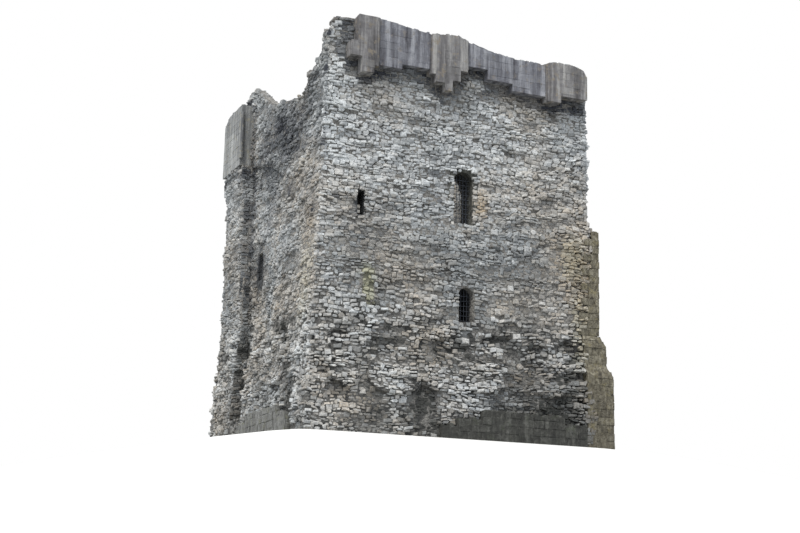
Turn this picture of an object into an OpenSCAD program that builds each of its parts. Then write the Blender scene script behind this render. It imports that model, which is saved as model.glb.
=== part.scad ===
// Ruined square stone keep. The rubble walls have lost most of their ashlar facing;
// what survives is a band and pilaster heads at the top, quoins at one corner and
// patches of the plinth. Millimetres, Z up, origin at the centre of the base.
// The front faces -Y. Work on a wall is drawn for the front and turned to its side.

/* [Keep] */
// Width over the ashlar faces, the same on all four sides
keep_w = 12000; // [11600:100:13000]
// Height of the wall-walk above the lowest ground
walk_h = 12600; // [12400:100:13200]

/* [Rubble core] */
// How far the core stands outside the ashlar plane at the ground
foot_out = 140; // [60:10:200]
// Height at which the spread foot of the core ends
foot_h = 4700; // [4500:50:5200]
// Depth of the core behind the ashlar plane at the top of the foot
foot_in = 120; // [80:10:220]
// Height above which the core rises upright
upright_h = 10000; // [9600:50:10800]
// Depth of the upright core behind the ashlar plane
core_in = 400; // [320:10:500]
// How far the lumps of the robbed faces stand out, and how deep the hollows between them are
swell = 90; // [60:5:120]
// The same on the spread foot, where more of the face has come away
foot_swell = 170; // [100:5:200]

/* [Walls] */
// Thickness of the lower walls, from the ashlar plane
lower_t = 2500; // [2400:50:2800]
// Thickness of the upper walls, from the ashlar plane
upper_t = 2300; // [2000:50:2350]
// Thickness of the broken parapet
parapet_t = 900; // [600:50:1200]
// How much lower the broken parapet is at its inner side
parapet_drop = 650; // [300:50:900]
// Depth of the hollow torn in the middle of the left wall
hollow_d = 150; // [80:10:250]
// Half the width of that hollow
hollow_half = 2450; // [2200:50:2500]
// Place of its middle along the wall
hollow_u = -950; // [-1050:50:-700]
// Height at which that hollow begins
hollow_foot = 1200; // [1150:50:1600]

/* [Floors] */
// Height of the ledge that carries the timber floor
ledge_h = 6400; // [6200:50:6600]
// Width of a floor beam
beam_w = 280; // [200:10:350]
// Height of a floor beam
beam_h = 320; // [250:10:380]
// Number of floor beams
beam_count = 5; // [3:1:7]
// Width of a joist
joist_w = 110; // [80:5:160]
// Height of a joist
joist_h = 120; // [80:5:180]
// Number of joists
joist_count = 11; // [7:1:15]
// Thickness of the floorboards
board_t = 45; // [30:1:60]
// Gap between the timber floor and the walls
timber_gap = 10; // [5:1:20]
// Thickness of the stone floor of the lower room
ground_t = 150; // [100:10:250]

/* [Tall windows] */
// Clear width of a tall window
tall_w = 820; // [700:10:1000]
// Height of a tall window's sill above the timber floor
tall_sill_up = 1415; // [1000:5:1600]
// Height of a tall window from its sill to where its arch springs
tall_rise = 1670; // [1300:10:1800]
// Width of the embrasure at the inner face
tall_in_w = 1700; // [1300:50:2000]
// Place of the front tall window along the wall
front_tall_u = 170; // [0:10:600]
// Place of the right tall window along the wall
right_tall_u = 300; // [0:10:900]

/* [Lower windows] */
// Clear width of a lower window
low_w = 620; // [500:10:700]
// Depth of a lower window's sill below the ledge of the timber floor
low_sill_down = 1950; // [1850:50:2400]
// Height of a lower window from its sill to where its arch springs
low_rise = 1040; // [900:10:1100]
// Width of the embrasure at the inner face
low_in_w = 1400; // [1000:50:1600]
// Place of the front lower window along the wall
front_low_u = 250; // [0:10:600]
// Place of the lower windows of the hidden walls
other_low_u = 300; // [0:10:900]

/* [Slits] */
// Clear width of the slit beside the front's left corner
front_slit_w = 300; // [200:10:400]
// Height of that slit
front_slit_h = 950; // [800:10:1100]
// Height of that slit's sill above the timber floor
front_slit_up = 1265; // [900:5:1500]
// Place of that slit along the wall
front_slit_u = -4050; // [-4200:10:-3900]
// How far its embrasure slants towards the room
front_slit_slant = 850; // [750:10:950]
// Clear width of the left wall's slit
left_slit_w = 600; // [400:10:700]
// Height of that slit
left_slit_h = 1150; // [900:10:1300]
// Height of that slit's sill above the timber floor
left_slit_up = 75; // [50:5:400]
// Place of that slit along the wall
left_slit_u = -2000; // [-2200:10:-1600]
// Width of a slit's embrasure at the inner face
slit_in_w = 800; // [750:10:900]

/* [Doorway] */
// Clear width of the doorway
door_w = 1200; // [1000:10:1400]
// Height from the threshold to where its arch springs
door_rise = 1700; // [1500:10:1900]
// Width of the doorway at the inner face
door_in_w = 1700; // [1400:50:1900]
// Thickness of the threshold stone
threshold_t = 200; // [150:10:260]

/* [Dressed surrounds] */
// Depth of a surround into the wall
surround_d = 420; // [350:10:500]
// Face width of the short jamb stones and of the arch stones
surround_w = 210; // [150:10:280]
// How much longer the long jamb stones are
long_more = 150; // [80:10:220]
// Height of a jamb stone
jamb_course = 280; // [240:10:340]
// Number of stones in an arch
arch_stones = 9; // [7:2:11]
// Joint between two arch stones
arch_joint = 8; // [4:1:15]
// How far a surround stands out from the rubble around it
surround_out = 40; // [20:5:80]

/* [Ashlar] */
// Height of an ashlar course
course_h = 300; // [260:10:340]
// How far a pilaster stands out from the ashlar plane
pilaster_out = 130; // [100:10:180]
// Width of a corner pilaster, from the ashlar plane round the corner
clasp_w = 2400; // [2300:50:2600]
// Width of a middle pilaster
middle_w = 1620; // [1300:10:1800]
// Place of the middle pilasters along the wall
middle_u = -660; // [-900:10:-500]
// Length of each leg of the pilaster that clasps the far corner, from the ashlar plane
far_leg = 2400; // [2000:50:2450]
// Height of the nook shaft that is left on that pilaster
far_shaft_h = 2100; // [1500:50:2400]
// Height of the rubble that bulges under that pilaster
bulge_h = 1500; // [1000:50:1800]
// Length of each leg of the thicker rubble at that corner, from the ashlar plane
corner_leg = 2500; // [2400:50:2550]
// Height at which that thicker rubble begins
corner_foot_h = 5300; // [5200:50:6000]
// Radius of the nook shafts
shaft_r = 90; // [70:5:110]
// Width of the nook that a shaft stands in
nook_w = 150; // [130:5:190]

/* [Plinth] */
// Height to which the plinth's upper slope reaches
plinth_h = 4400; // [4200:50:4600]
// Projection of the plinth's upper stage
plinth_upper_out = 195; // [160:5:240]
// Height to which its lower slope reaches
plinth_lower_h = 3200; // [3000:50:3500]
// Projection of the plinth's lower stage
plinth_out = 390; // [340:10:460]
// Height of each slope
slope_h = 400; // [250:10:500]
// Length of the corner's plinth along each wall, from the ashlar plane
corner_plinth_w = 800; // [600:50:950]
// Height of the plinth patches that are left along the walls
patch_h = 1100; // [900:50:1300]
// Number of quoin courses left above the corner's plinth
quoin_courses = 14; // [12:1:17]
// Length of a long quoin
quoin_long = 950; // [850:10:1200]
// Length of a short quoin
quoin_short = 600; // [500:10:800]

/* [Hidden] */

rubble = "#a9a399";
ashlar = "#8d8178";
quoin_stone = "#a08d6f";
oak = "#8a7a68";
flag = "#96928a";

half_w = keep_w / 2;
lower_in = half_w - lower_t;
upper_in = half_w - upper_t;
core_half = half_w - core_in;
pilaster_face = half_w + pilaster_out;
parapet_in = core_half - parapet_t;
clasp_edge = half_w - clasp_w;
plinth_edge = half_w - corner_plinth_w;

// How far a cut runs past the face that it opens
past = 10;
// Safely outside every wall
reach = half_w + lower_t;
// Safely above every wall
sky_h = walk_h + ledge_h;

// Half the width of the core at the heights where its slope changes
core_line = [[0, half_w + foot_out], [foot_h, half_w - foot_in], [upright_h, core_half]];

floor_top = ledge_h + beam_h + joist_h + board_t;
tall_sill = floor_top + tall_sill_up;
low_sill = ledge_h - low_sill_down;
front_slit_sill = floor_top + front_slit_up;
left_slit_sill = floor_top + left_slit_up;

// Height of the ragged lower edges of the facing above the wall-walk
band_up = 1400;
left_head_up = 1000;
right_head_up = 1100;

// Hollow of the left wall: shares of its half width, and of the height of the wall it is in
lower_hollow = [
    [-1, 0], [-0.35, 0], [-0.3, 0.44], [0.3, 0.5], [1.05, 0.48], [0.8, 0.62], [0.8, 0.8], [0.95, 1.01],
    [-0.95, 1.01], [-0.82, 0.75], [-0.95, 0.5]
];
upper_hollow = [
    [-0.97, -0.01], [0.95, -0.01], [0.8, 0.32], [1, 0.5], [0.84, 0.68], [0.3, 0.8], [-0.4, 0.88],
    [-1.03, 0.94], [-1, 0.5]
];

// Ragged lower edges of the facing: shares of the length, and courses above the edge's height
left_panel_edge = [[0, 0], [0.45, 0], [0.45, 2 / 3], [1, 2 / 3]];
right_panel_edge = [[0, 2], [0.25, 2], [0.25, 2 / 3], [0.57, 2 / 3], [0.57, -1 / 3], [1, -1 / 3]];
middle_edge = [
    [0, 0], [0.12, 0], [0.12, -1], [0.37, -1], [0.37, -2], [0.56, -2], [0.56, -1 / 2], [0.77, -1 / 2],
    [0.77, 1], [1, 1]
];
left_head_edge = [
    [0.62, 5], [0.62, 4], [0.5, 4], [0.5, 2], [0.69, 2], [0.69, 0], [0.9, 0], [0.9, 1], [1, 1]
];
right_head_edge = [[0, 0], [0.27, 0], [0.27, 1], [0.77, 1]];

// Broken upper edge of a plinth patch: shares of its length, and courses below its top
patch_edge = [
    [1, 1], [0.84, 1], [0.84, 0], [0.27, 0], [0.27, 1], [0.11, 1], [0.11, 2], [0, 2]
];

// Lumps (1) and hollows (-1) of the robbed faces: place along the wall, height, half width, half height, kind
front_relief = [
    [-2700, 2300, 1100, 800, 1], [900, 2350, 850, 600, 1], [-4700, 2200, 650, 600, 1],
    [3700, 2350, 700, 550, 1], [-1300, 4900, 700, 500, 1], [1700, 4950, 750, 450, 1],
    [-2600, 9600, 950, 700, 1], [2600, 8100, 850, 650, 1], [-2400, 7400, 700, 500, 1],
    [4300, 10700, 700, 600, 1], [-600, 11600, 800, 500, 1],
    [-1450, 1350, 430, 600, -1], [-500, 3450, 750, 350, -1], [1650, 3650, 900, 400, -1],
    [3300, 3500, 500, 350, -1], [-4800, 3400, 600, 300, -1], [-3600, 5200, 500, 450, -1],
    [-5000, 1400, 420, 480, -1], [4740, 2650, 380, 400, -1],
    [4500, 3750, 400, 350, -1], [1700, 11300, 750, 450, -1], [-4500, 10900, 600, 500, -1],
    [-1300, 8500, 450, 450, -1], [3900, 9400, 500, 400, -1], [1400, 7200, 550, 350, -1]
];
left_relief = [
    [2700, 2500, 700, 550, 1], [2700, 5200, 650, 500, 1], [2900, 7600, 700, 600, 1],
    [2900, 10700, 700, 600, 1], [2700, 3850, 600, 400, -1], [2800, 9200, 650, 450, -1]
];
right_relief = [
    [-2400, 2400, 1000, 750, 1], [2300, 2900, 1000, 700, 1], [-1700, 5000, 750, 500, 1],
    [2500, 4900, 700, 450, 1], [-2500, 9000, 950, 700, 1], [2700, 8300, 900, 650, 1],
    [-2700, 11300, 800, 500, 1], [1900, 11500, 800, 450, 1], [-500, 3500, 650, 400, -1],
    [400, 2400, 550, 400, -1], [-2800, 3950, 550, 400, -1], [-900, 7300, 600, 400, -1],
    [2900, 10400, 650, 450, -1]
];
back_relief = [
    [-2700, 2500, 1000, 750, 1], [2500, 3300, 950, 650, 1], [-1700, 4900, 650, 450, 1],
    [-2700, 8300, 900, 700, 1], [2200, 10700, 850, 600, 1], [-1700, 11200, 750, 500, 1],
    [-600, 3300, 600, 400, -1], [-4300, 4300, 600, 450, -1], [3900, 4600, 450, 400, -1],
    [2300, 8000, 650, 500, -1], [-4500, 10100, 650, 500, -1]
];
// Broken rim of each of them, as shares of its half width and half height
relief_rim = [
    [-1, -0.3], [-0.62, -0.9], [0.05, -1], [0.7, -0.8], [1, -0.15], [0.85, 0.5], [0.3, 1], [-0.45, 0.85],
    [-0.9, 0.4]
];
// How far each of them is turned to one side, in degrees
relief_turn = 2;

// Broken tops: share of the core's half width, and height above the wall-walk
front_ruin = [
    [-1, 1650], [-0.985, 2500], [-0.95, 2980], [-0.92, 3200], [-0.86, 3260], [-0.66, 3280], [-0.41, 3130],
    [-0.22, 3030], [-0.08, 3130], [0.04, 2980], [0.19, 2770], [0.34, 2660], [0.63, 2630],
    [0.68, 2760], [0.87, 2780], [0.95, 2590], [1, 2130]
];
right_ruin = [[-1, 2200], [-0.84, 2650], [-0.36, 2800], [0.1, 2450], [0.55, 2500], [0.84, 2700], [1, 2350]];
back_ruin = [
    [-1, 2200], [-0.72, 2800], [-0.36, 2550], [0, 2400], [0.3, 2600], [0.66, 2750], [0.85, 3050],
    [0.94, 2700], [1, 2450]
];
left_ruin = [
    [-1.07, 2200], [-1, 2420], [-0.8, 2620], [-0.77, 2950], [-0.72, 3200], [-0.53, 3000],
    [-0.285, 2140], [-0.06, 1440], [0.11, 1290], [0.43, 910], [0.585, 740], [0.615, 1120],
    [0.715, 1470], [0.925, 1530], [1, 1650]
];

// The steps of the parapet from its outer to its inner leaf, as shares of its drop
leaf_steps = [0, 0.35, 1];
leaf_t = parapet_t / len(leaf_steps);
// Lowest course that is left of a parapet leaf
leaf_min = 80;

function core_at(z) = lookup(z, core_line);
// How far the face of the core leans back from upright at a height
lean_span = 500;
function swell_at(z) = z < foot_h ? foot_swell : swell;
function lean_at(z) = atan((core_at(z - lean_span) - core_at(z + lean_span)) / (2 * lean_span));
function core_breaks(z0, z1) = concat([z0], [for (p = core_line) if (p[0] > z0 && p[0] < z1) p[0]], [z1]);
function core_side(z0, z1) = [for (z = core_breaks(z0, z1)) [core_at(z), z]];
function flipped(points) = [for (i = [len(points) - 1 : -1 : 0]) [-points[i][0], points[i][1]]];
function reversed(points) = [for (i = [len(points) - 1 : -1 : 0]) points[i]];

// A broken top as heights above the ground along a wall
function ruin_line(ruin) = [for (p = ruin) [p[0] * core_half, walk_h + p[1]]];

// The part of a line between two places along it
function line_between(line, u0, u1) = concat(
    [[u0, lookup(u0, line)]],
    [for (p = line) if (p[0] > u0 && p[0] < u1) p],
    [[u1, lookup(u1, line)]]
);

// A ragged lower edge between two places along a wall
function ragged(steps, u0, u1, base) = [for (s = steps) [u0 + s[0] * (u1 - u0), base + s[1] * course_h]];

// Outline of facing that hangs between a ragged lower edge and a broken top
function hung(lower, line) = concat(lower, reversed(line_between(line, lower[0][0], lower[len(lower) - 1][0])));

// Turns work drawn for the front to another side
module on_right() { rotate([0, 0, 90]) children(); }
module on_back() { rotate([0, 0, 180]) children(); }
module on_left() { rotate([0, 0, 270]) children(); }

// A flat outline of the front, made a slab between two distances from the middle of the keep
module slab(d_in, d_out) {
    translate([0, -d_in, 0]) rotate([90, 0, 0]) linear_extrude(height = d_out - d_in) children();
}

// The whole battered core between two heights
module core_mass(z0, z1) {
    outline = concat(core_side(z0, z1), flipped(core_side(z0, z1)));
    intersection() {
        rotate([90, 0, 0]) linear_extrude(height = 2 * reach, center = true) polygon(outline);
        rotate([90, 0, 90]) linear_extrude(height = 2 * reach, center = true) polygon(outline);
    }
}

// The part of the core that is one wall
module wall_block(z0, z1, inner, half_len) {
    intersection() {
        core_mass(z0, z1);
        translate([-half_len, -reach, z0]) cube([2 * half_len, reach - inner, z1 - z0]);
    }
}

// Block with a broken rim whose end is tipped on an upright face. The lower edge of a lump stands out and its
// upper edge runs into the face; the upper edge of a hollow is the deepest.
module tipped_block(half, high, depth, kind, hand) {
    rotate([-asin(depth / (2 * high)), 0, 0]) rotate([0, 0, hand * relief_turn]) {
        translate([0, kind > 0 ? 2 * depth : depth / 2, 0]) rotate([90, 0, 0]) {
            linear_extrude(height = 2.5 * depth) polygon([for (p = relief_rim) [hand * p[0] * half, p[1] * high]]);
        }
    }
}

// The lumps of a face between two heights, or what its hollows take away
module relief_blocks(relief, kind, z0, z1) {
    for (i = [0 : len(relief) - 1]) {
        spot = relief[i];
        if (spot[4] == kind && spot[1] > z0 && spot[1] < z1) {
            translate([spot[0], -core_at(spot[1]), spot[1]]) rotate([-lean_at(spot[1]), 0, 0]) {
                tipped_block(spot[2], spot[3], swell_at(spot[1]), kind, i % 2 == 0 ? 1 : -1);
            }
        }
    }
}

// One wall of the core, with the lumps and hollows of its outer face
module rubble_wall(relief, z0, z1, inner, half_len) {
    difference() {
        union() {
            wall_block(z0, z1, inner, half_len);
            relief_blocks(relief, 1, z0, z1);
        }
        relief_blocks(relief, -1, z0, z1);
    }
}

// Round-headed void that widens from its outer to its inner end
module arched_void(w0, w1, rise, d0, d1) {
    linear_extrude(height = rise) polygon([[-w0 / 2, -d0], [w0 / 2, -d0], [w1 / 2, -d1], [-w1 / 2, -d1]]);
    translate([0, -d0, rise]) rotate([-90, 0, 0]) cylinder(h = d0 - d1, r1 = w0 / 2, r2 = w1 / 2, $fn = 48);
}

// Splayed window: an even neck at the outer face, then an embrasure open to the room
module window_void(w, w_in, rise, inner) {
    neck = core_half - surround_d;
    arched_void(w, w, rise, reach, neck);
    arched_void(w, w_in, rise, neck, inner - past);
}

// Flat-headed slit, with an embrasure that may slant along the wall
module slit_void(w, h, inner, slant) {
    neck = core_half - surround_d;
    linear_extrude(height = h) polygon([
        [-w / 2, -reach], [w / 2, -reach], [w / 2, -neck],
        [slant + slit_in_w / 2, past - inner], [slant - slit_in_w / 2, past - inner], [-w / 2, -neck]
    ]);
}

// Face of one jamb: long and short stones, drawn on the right of an opening
module jamb_face(w, rise) {
    courses = floor(rise / jamb_course);
    course = rise / courses;
    translate([w / 2, 0]) square([surround_w, rise]);
    for (i = [1 : 2 : courses - 1]) {
        translate([w / 2, i * course]) square([surround_w + long_more, course]);
    }
}

module jamb_faces(w, rise) {
    jamb_face(w, rise);
    mirror([1, 0]) jamb_face(w, rise);
}

// Face of an arch, above where it springs
module arch_face(w) {
    intersection() {
        difference() {
            circle(r = w / 2 + surround_w, $fn = 64);
            circle(r = w / 2, $fn = 64);
        }
        translate([-w, 0]) square([2 * w, w + surround_w]);
    }
}

// The pocket that a surround is set in
module surround_pocket(w, rise) {
    slab(core_half - surround_d, reach) {
        jamb_faces(w, rise);
        translate([0, rise]) arch_face(w);
    }
}

module surround_jambs(w, rise, face) {
    slab(core_half - surround_d, face) jamb_faces(w, rise);
}

// Arch stones with open joints between them
module surround_arch(w, rise, face) {
    step = 180 / arch_stones;
    far = w + surround_w;
    joint = asin(arch_joint / w);
    slab(core_half - surround_d, face) translate([0, rise]) {
        for (i = [0 : arch_stones - 1]) {
            a0 = i * step + (i == 0 ? 0 : joint);
            a1 = (i + 1) * step - (i == arch_stones - 1 ? 0 : joint);
            intersection() {
                arch_face(w);
                polygon([[0, 0], [far * cos(a0), far * sin(a0)], [far * cos(a1), far * sin(a1)]]);
            }
        }
    }
}

module tall_window_cut() {
    translate([0, 0, tall_sill]) {
        window_void(tall_w, tall_in_w, tall_rise, upper_in);
        surround_pocket(tall_w, tall_rise);
    }
}

module low_window_cut() {
    translate([0, 0, low_sill]) window_void(low_w, low_in_w, low_rise, lower_in);
}

// Broken parapet: leaves that step down towards the wall-walk
module broken_parapet(ruin, half_len) {
    line = line_between(ruin_line(ruin), -half_len, half_len);
    for (i = [0 : len(leaf_steps) - 1]) {
        drop = leaf_steps[i] * parapet_drop;
        top = [for (p = line) [p[0], max(p[1] - drop, walk_h + leaf_min)]];
        slab(core_half - (i + 1) * leaf_t, core_half - i * leaf_t) {
            polygon(concat([[half_len, walk_h], [-half_len, walk_h]], top));
        }
    }
}

// Plan of a pilaster with a nook at each edge, from the core to its face
module pilaster_plan(u0, u1) {
    difference() {
        translate([u0, -pilaster_face]) square([u1 - u0, pilaster_face - core_half]);
        for (u = [u0, u1 - nook_w]) {
            translate([u, -pilaster_face - past]) square([nook_w, nook_w + past]);
        }
    }
    for (u = [u0 + nook_w - shaft_r / 2, u1 - nook_w + shaft_r / 2]) {
        translate([u, -pilaster_face + nook_w - shaft_r / 2]) circle(r = shaft_r, $fn = 32);
    }
}

// Pilaster cut to the outline that survives
module pilaster_head(u0, u1, outline) {
    intersection() {
        linear_extrude(height = sky_h) pilaster_plan(u0, u1);
        slab(core_half, pilaster_face) polygon(outline);
    }
}

// Panels of ashlar between the pilasters; the lower edges break by courses
module band_panels(ruin, left_end, right_end) {
    line = ruin_line(ruin);
    base = walk_h + band_up;
    slab(core_half, half_w) {
        polygon(hung(ragged(left_panel_edge, left_end, middle_u - middle_w / 2, base), line));
        polygon(hung(ragged(right_panel_edge, middle_u + middle_w / 2, right_end, base), line));
    }
}

// The middle pilaster, whose lowest stones hang below the band
module middle_head(ruin) {
    u0 = middle_u - middle_w / 2;
    u1 = middle_u + middle_w / 2;
    pilaster_head(u0, u1, hung(ragged(middle_edge, u0, u1, walk_h + band_up), ruin_line(ruin)));
}

// What is left of the corner pilaster at the left end of a wall
module left_head(ruin) {
    base = walk_h + left_head_up;
    pilaster_head(-half_w, -clasp_edge, hung(ragged(left_head_edge, -half_w, -clasp_edge, base), ruin_line(ruin)));
}

// What is left of the corner pilaster at the right end of a wall
module right_head(ruin) {
    base = walk_h + right_head_up;
    pilaster_head(clasp_edge, half_w, hung(ragged(right_head_edge, clasp_edge, half_w, base), ruin_line(ruin)));
}

// Section through the thicker rubble of the far corner and its bulge, over the whole width
function bulge_side() = [
    [half_w - foot_in, corner_foot_h], [half_w - foot_in, walk_h - course_h - bulge_h],
    [half_w, walk_h - course_h - bulge_h / 2], [half_w, walk_h - course_h]
];
function bulge_outline() = concat(bulge_side(), flipped(bulge_side()));

// Section of the whole plinth, outward from the middle of the keep
function plinth_section() = [
    [0, 0], [half_w + plinth_out, 0], [half_w + plinth_out, plinth_lower_h - slope_h],
    [half_w + plinth_upper_out, plinth_lower_h], [half_w + plinth_upper_out, plinth_h - slope_h],
    [half_w, plinth_h], [0, plinth_h]
];

// The plinth as it was, round the whole keep
module plinth_mass() {
    outline = concat(plinth_section(), flipped(plinth_section()));
    intersection() {
        rotate([90, 0, 0]) linear_extrude(height = 2 * reach, center = true) polygon(outline);
        rotate([90, 0, 90]) linear_extrude(height = 2 * reach, center = true) polygon(outline);
    }
}

// A patch of the lowest plinth courses along a wall, from one place to another
module plinth_patch(u0, u1) {
    difference() {
        slab(lower_in, half_w + plinth_out) {
            polygon(concat([[u0, 0], [u1, 0]], [
                for (s = patch_edge) [u0 + s[0] * (u1 - u0), patch_h - s[1] * course_h]
            ]));
        }
        core_mass(0, foot_h);
    }
}

module ground_floor() {
    color(flag) translate([-lower_in, -lower_in, 0]) cube([2 * lower_in, 2 * lower_in, ground_t]);
}

// Beams lie on the ledge between the lower and the upper walls
module floor_beams() {
    length = 2 * (upper_in - timber_gap);
    step = 2 * upper_in / beam_count;
    color(oak) for (i = [0 : beam_count - 1]) {
        translate([-length / 2, (i + 0.5) * step - upper_in - beam_w / 2, ledge_h]) cube([length, beam_w, beam_h]);
    }
}

module floor_joists() {
    length = 2 * (upper_in - timber_gap);
    step = 2 * upper_in / joist_count;
    color(oak) for (i = [0 : joist_count - 1]) {
        translate([(i + 0.5) * step - upper_in - joist_w / 2, -length / 2, ledge_h + beam_h]) {
            cube([joist_w, length, joist_h]);
        }
    }
}

module floor_boards() {
    side = 2 * (upper_in - timber_gap);
    color(oak) translate([-side / 2, -side / 2, floor_top - board_t]) cube([side, side, board_t]);
}

module front_wall_lower() {
    color(rubble) difference() {
        rubble_wall(front_relief, 0, ledge_h, lower_in, reach);
        translate([front_low_u, 0, 0]) low_window_cut();
    }
}

module right_wall_lower() {
    color(rubble) on_right() difference() {
        rubble_wall(right_relief, 0, ledge_h, lower_in, lower_in);
        translate([other_low_u, 0, 0]) low_window_cut();
    }
}

module back_wall_lower() {
    color(rubble) on_back() difference() {
        rubble_wall(back_relief, 0, ledge_h, lower_in, reach);
        translate([other_low_u, 0, 0]) low_window_cut();
    }
}

// The middle of this wall is hollowed where its facing was torn out
module left_wall_lower() {
    color(rubble) on_left() difference() {
        rubble_wall(left_relief, 0, ledge_h, lower_in, lower_in);
        slab(core_half - hollow_d, reach) {
            polygon([
                for (p = lower_hollow) [hollow_u + p[0] * hollow_half, hollow_foot + p[1] * (ledge_h - hollow_foot)]
            ]);
        }
    }
}

module front_wall_upper() {
    color(rubble) difference() {
        rubble_wall(front_relief, ledge_h, walk_h, upper_in, reach);
        translate([front_tall_u, 0, 0]) tall_window_cut();
        translate([front_slit_u, 0, front_slit_sill]) {
            slit_void(front_slit_w, front_slit_h, upper_in, front_slit_slant);
        }
    }
}

module right_wall_upper() {
    color(rubble) on_right() difference() {
        rubble_wall(right_relief, ledge_h, walk_h, upper_in, upper_in);
        translate([right_tall_u, 0, 0]) tall_window_cut();
    }
}

module back_wall_upper() {
    color(rubble) on_back() difference() {
        rubble_wall(back_relief, ledge_h, walk_h, upper_in, reach);
        translate([0, 0, floor_top]) {
            window_void(door_w, door_in_w, door_rise, upper_in);
            surround_pocket(door_w, door_rise);
        }
        threshold_block(reach);
    }
}

module left_wall_upper() {
    color(rubble) on_left() difference() {
        rubble_wall(left_relief, ledge_h, walk_h, upper_in, upper_in);
        slab(core_half - hollow_d, reach) {
            polygon([
                for (p = upper_hollow) [hollow_u + p[0] * hollow_half, ledge_h + p[1] * (walk_h - ledge_h)]
            ]);
        }
        translate([left_slit_u, 0, left_slit_sill]) slit_void(left_slit_w, left_slit_h, upper_in, 0);
    }
}

module front_parapet() { color(rubble) broken_parapet(front_ruin, core_half); }
module right_parapet() { color(rubble) on_right() broken_parapet(right_ruin, parapet_in); }
module back_parapet() { color(rubble) on_back() broken_parapet(back_ruin, core_half); }
module left_parapet() { color(rubble) on_left() broken_parapet(left_ruin, parapet_in); }

module front_ashlar_band() { color(ashlar) band_panels(front_ruin, -clasp_edge, clasp_edge); }
module front_left_pilaster() { color(ashlar) left_head(front_ruin); }
module front_middle_pilaster() { color(ashlar) middle_head(front_ruin); }
module front_right_pilaster() { color(ashlar) right_head(front_ruin); }

module right_ashlar_band() { color(ashlar) on_right() band_panels(right_ruin, -clasp_edge, clasp_edge); }
module right_left_pilaster() { color(ashlar) on_right() left_head(right_ruin); }
module right_middle_pilaster() { color(ashlar) on_right() middle_head(right_ruin); }
module right_far_pilaster() { color(ashlar) on_right() right_head(right_ruin); }

module back_ashlar_band() { color(ashlar) on_back() band_panels(back_ruin, -clasp_edge, clasp_edge); }
module back_middle_pilaster() { color(ashlar) on_back() middle_head(back_ruin); }
module back_left_pilaster() { color(ashlar) on_back() left_head(back_ruin); }

// Plan of what clasps the corner between the left and the back wall, out to a given distance
module clasp_plan(face, left_leg, back_leg) {
    difference() {
        union() {
            translate([-face, half_w - left_leg]) square([face - core_half, face - half_w + left_leg]);
            translate([-face, core_half]) square([face - half_w + back_leg, face - core_half]);
        }
        translate([-core_half, -core_half]) square(2 * core_half);
    }
}

// Clasping pilaster of that corner: a stage with a nook shaft at the end of each leg,
// and beside its left leg a narrow strip of the wall's own ashlar
module far_corner_pilaster() {
    base = walk_h - course_h;
    color(ashlar) {
        intersection() {
            translate([0, 0, base]) linear_extrude(height = sky_h - base) clasp_plan(pilaster_face, far_leg, far_leg);
            on_left() slab(-reach, reach) polygon(hung([[-reach, base], [reach, base]], ruin_line(left_ruin)));
            on_back() slab(-reach, reach) polygon(hung([[-reach, base], [reach, base]], ruin_line(back_ruin)));
        }
        translate([-pilaster_face + nook_w - shaft_r, half_w - far_leg - shaft_r / 2, base + course_h]) {
            cylinder(h = far_shaft_h, r = shaft_r, $fn = 32);
        }
    }
}

// Thicker rubble of that corner, which bulges under the pilaster
module far_corner_rubble() {
    top = walk_h - course_h;
    color(rubble) difference() {
        intersection() {
            translate([0, 0, corner_foot_h]) linear_extrude(height = top - corner_foot_h) {
                clasp_plan(half_w, corner_leg, corner_leg);
            }
            rotate([90, 0, 0]) linear_extrude(height = 2 * reach, center = true) polygon(bulge_outline());
            rotate([90, 0, 90]) linear_extrude(height = 2 * reach, center = true) polygon(bulge_outline());
        }
        core_mass(0, walk_h);
    }
}

// Quoins that are left above the plinth of the corner between the front and the right wall
module corner_quoins() {
    color(quoin_stone) difference() {
        for (i = [0 : quoin_courses - 1]) {
            shrink = i * (quoin_long - quoin_short) / quoin_courses;
            front_leg = (i % 2 == 0 ? quoin_long : quoin_short) - shrink;
            right_leg = (i % 2 == 0 ? quoin_short : quoin_long) - shrink;
            translate([half_w - front_leg, -half_w, plinth_h + i * course_h]) {
                cube([front_leg, right_leg, course_h]);
            }
        }
        core_mass(0, walk_h);
    }
}

module corner_plinth() {
    color(quoin_stone) difference() {
        intersection() {
            plinth_mass();
            translate([plinth_edge, -reach, 0]) cube([reach, reach - plinth_edge, plinth_h]);
        }
        core_mass(0, walk_h);
    }
}

// Ends of the plinth patches, as shares of the clear length between the corner plinths
front_patch = -0.18;
left_patch = [-0.4, 0.9];
back_patch = [-0.73, 0.5];
right_patch = 0.58;

module front_plinth() { color(ashlar) plinth_patch(front_patch * plinth_edge, plinth_edge); }
module left_plinth() { color(ashlar) on_left() plinth_patch(left_patch[0] * plinth_edge, left_patch[1] * plinth_edge); }
module back_plinth() { color(ashlar) on_back() plinth_patch(back_patch[0] * plinth_edge, back_patch[1] * plinth_edge); }
module right_plinth() { color(ashlar) on_right() plinth_patch(-plinth_edge, right_patch * plinth_edge); }

tall_face = core_at(tall_sill + tall_rise) + surround_out;
door_face = core_at(floor_top + door_rise) + surround_out;

module front_window_jambs() {
    color(ashlar) translate([front_tall_u, 0, tall_sill]) surround_jambs(tall_w, tall_rise, tall_face);
}

module front_window_arch() {
    color(ashlar) translate([front_tall_u, 0, tall_sill]) surround_arch(tall_w, tall_rise, tall_face);
}

module right_window_jambs() {
    color(ashlar) on_right() translate([right_tall_u, 0, tall_sill]) surround_jambs(tall_w, tall_rise, tall_face);
}

module right_window_arch() {
    color(ashlar) on_right() translate([right_tall_u, 0, tall_sill]) surround_arch(tall_w, tall_rise, tall_face);
}

module doorway_jambs() {
    color(ashlar) on_back() translate([0, 0, floor_top]) surround_jambs(door_w, door_rise, door_face);
}

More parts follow.
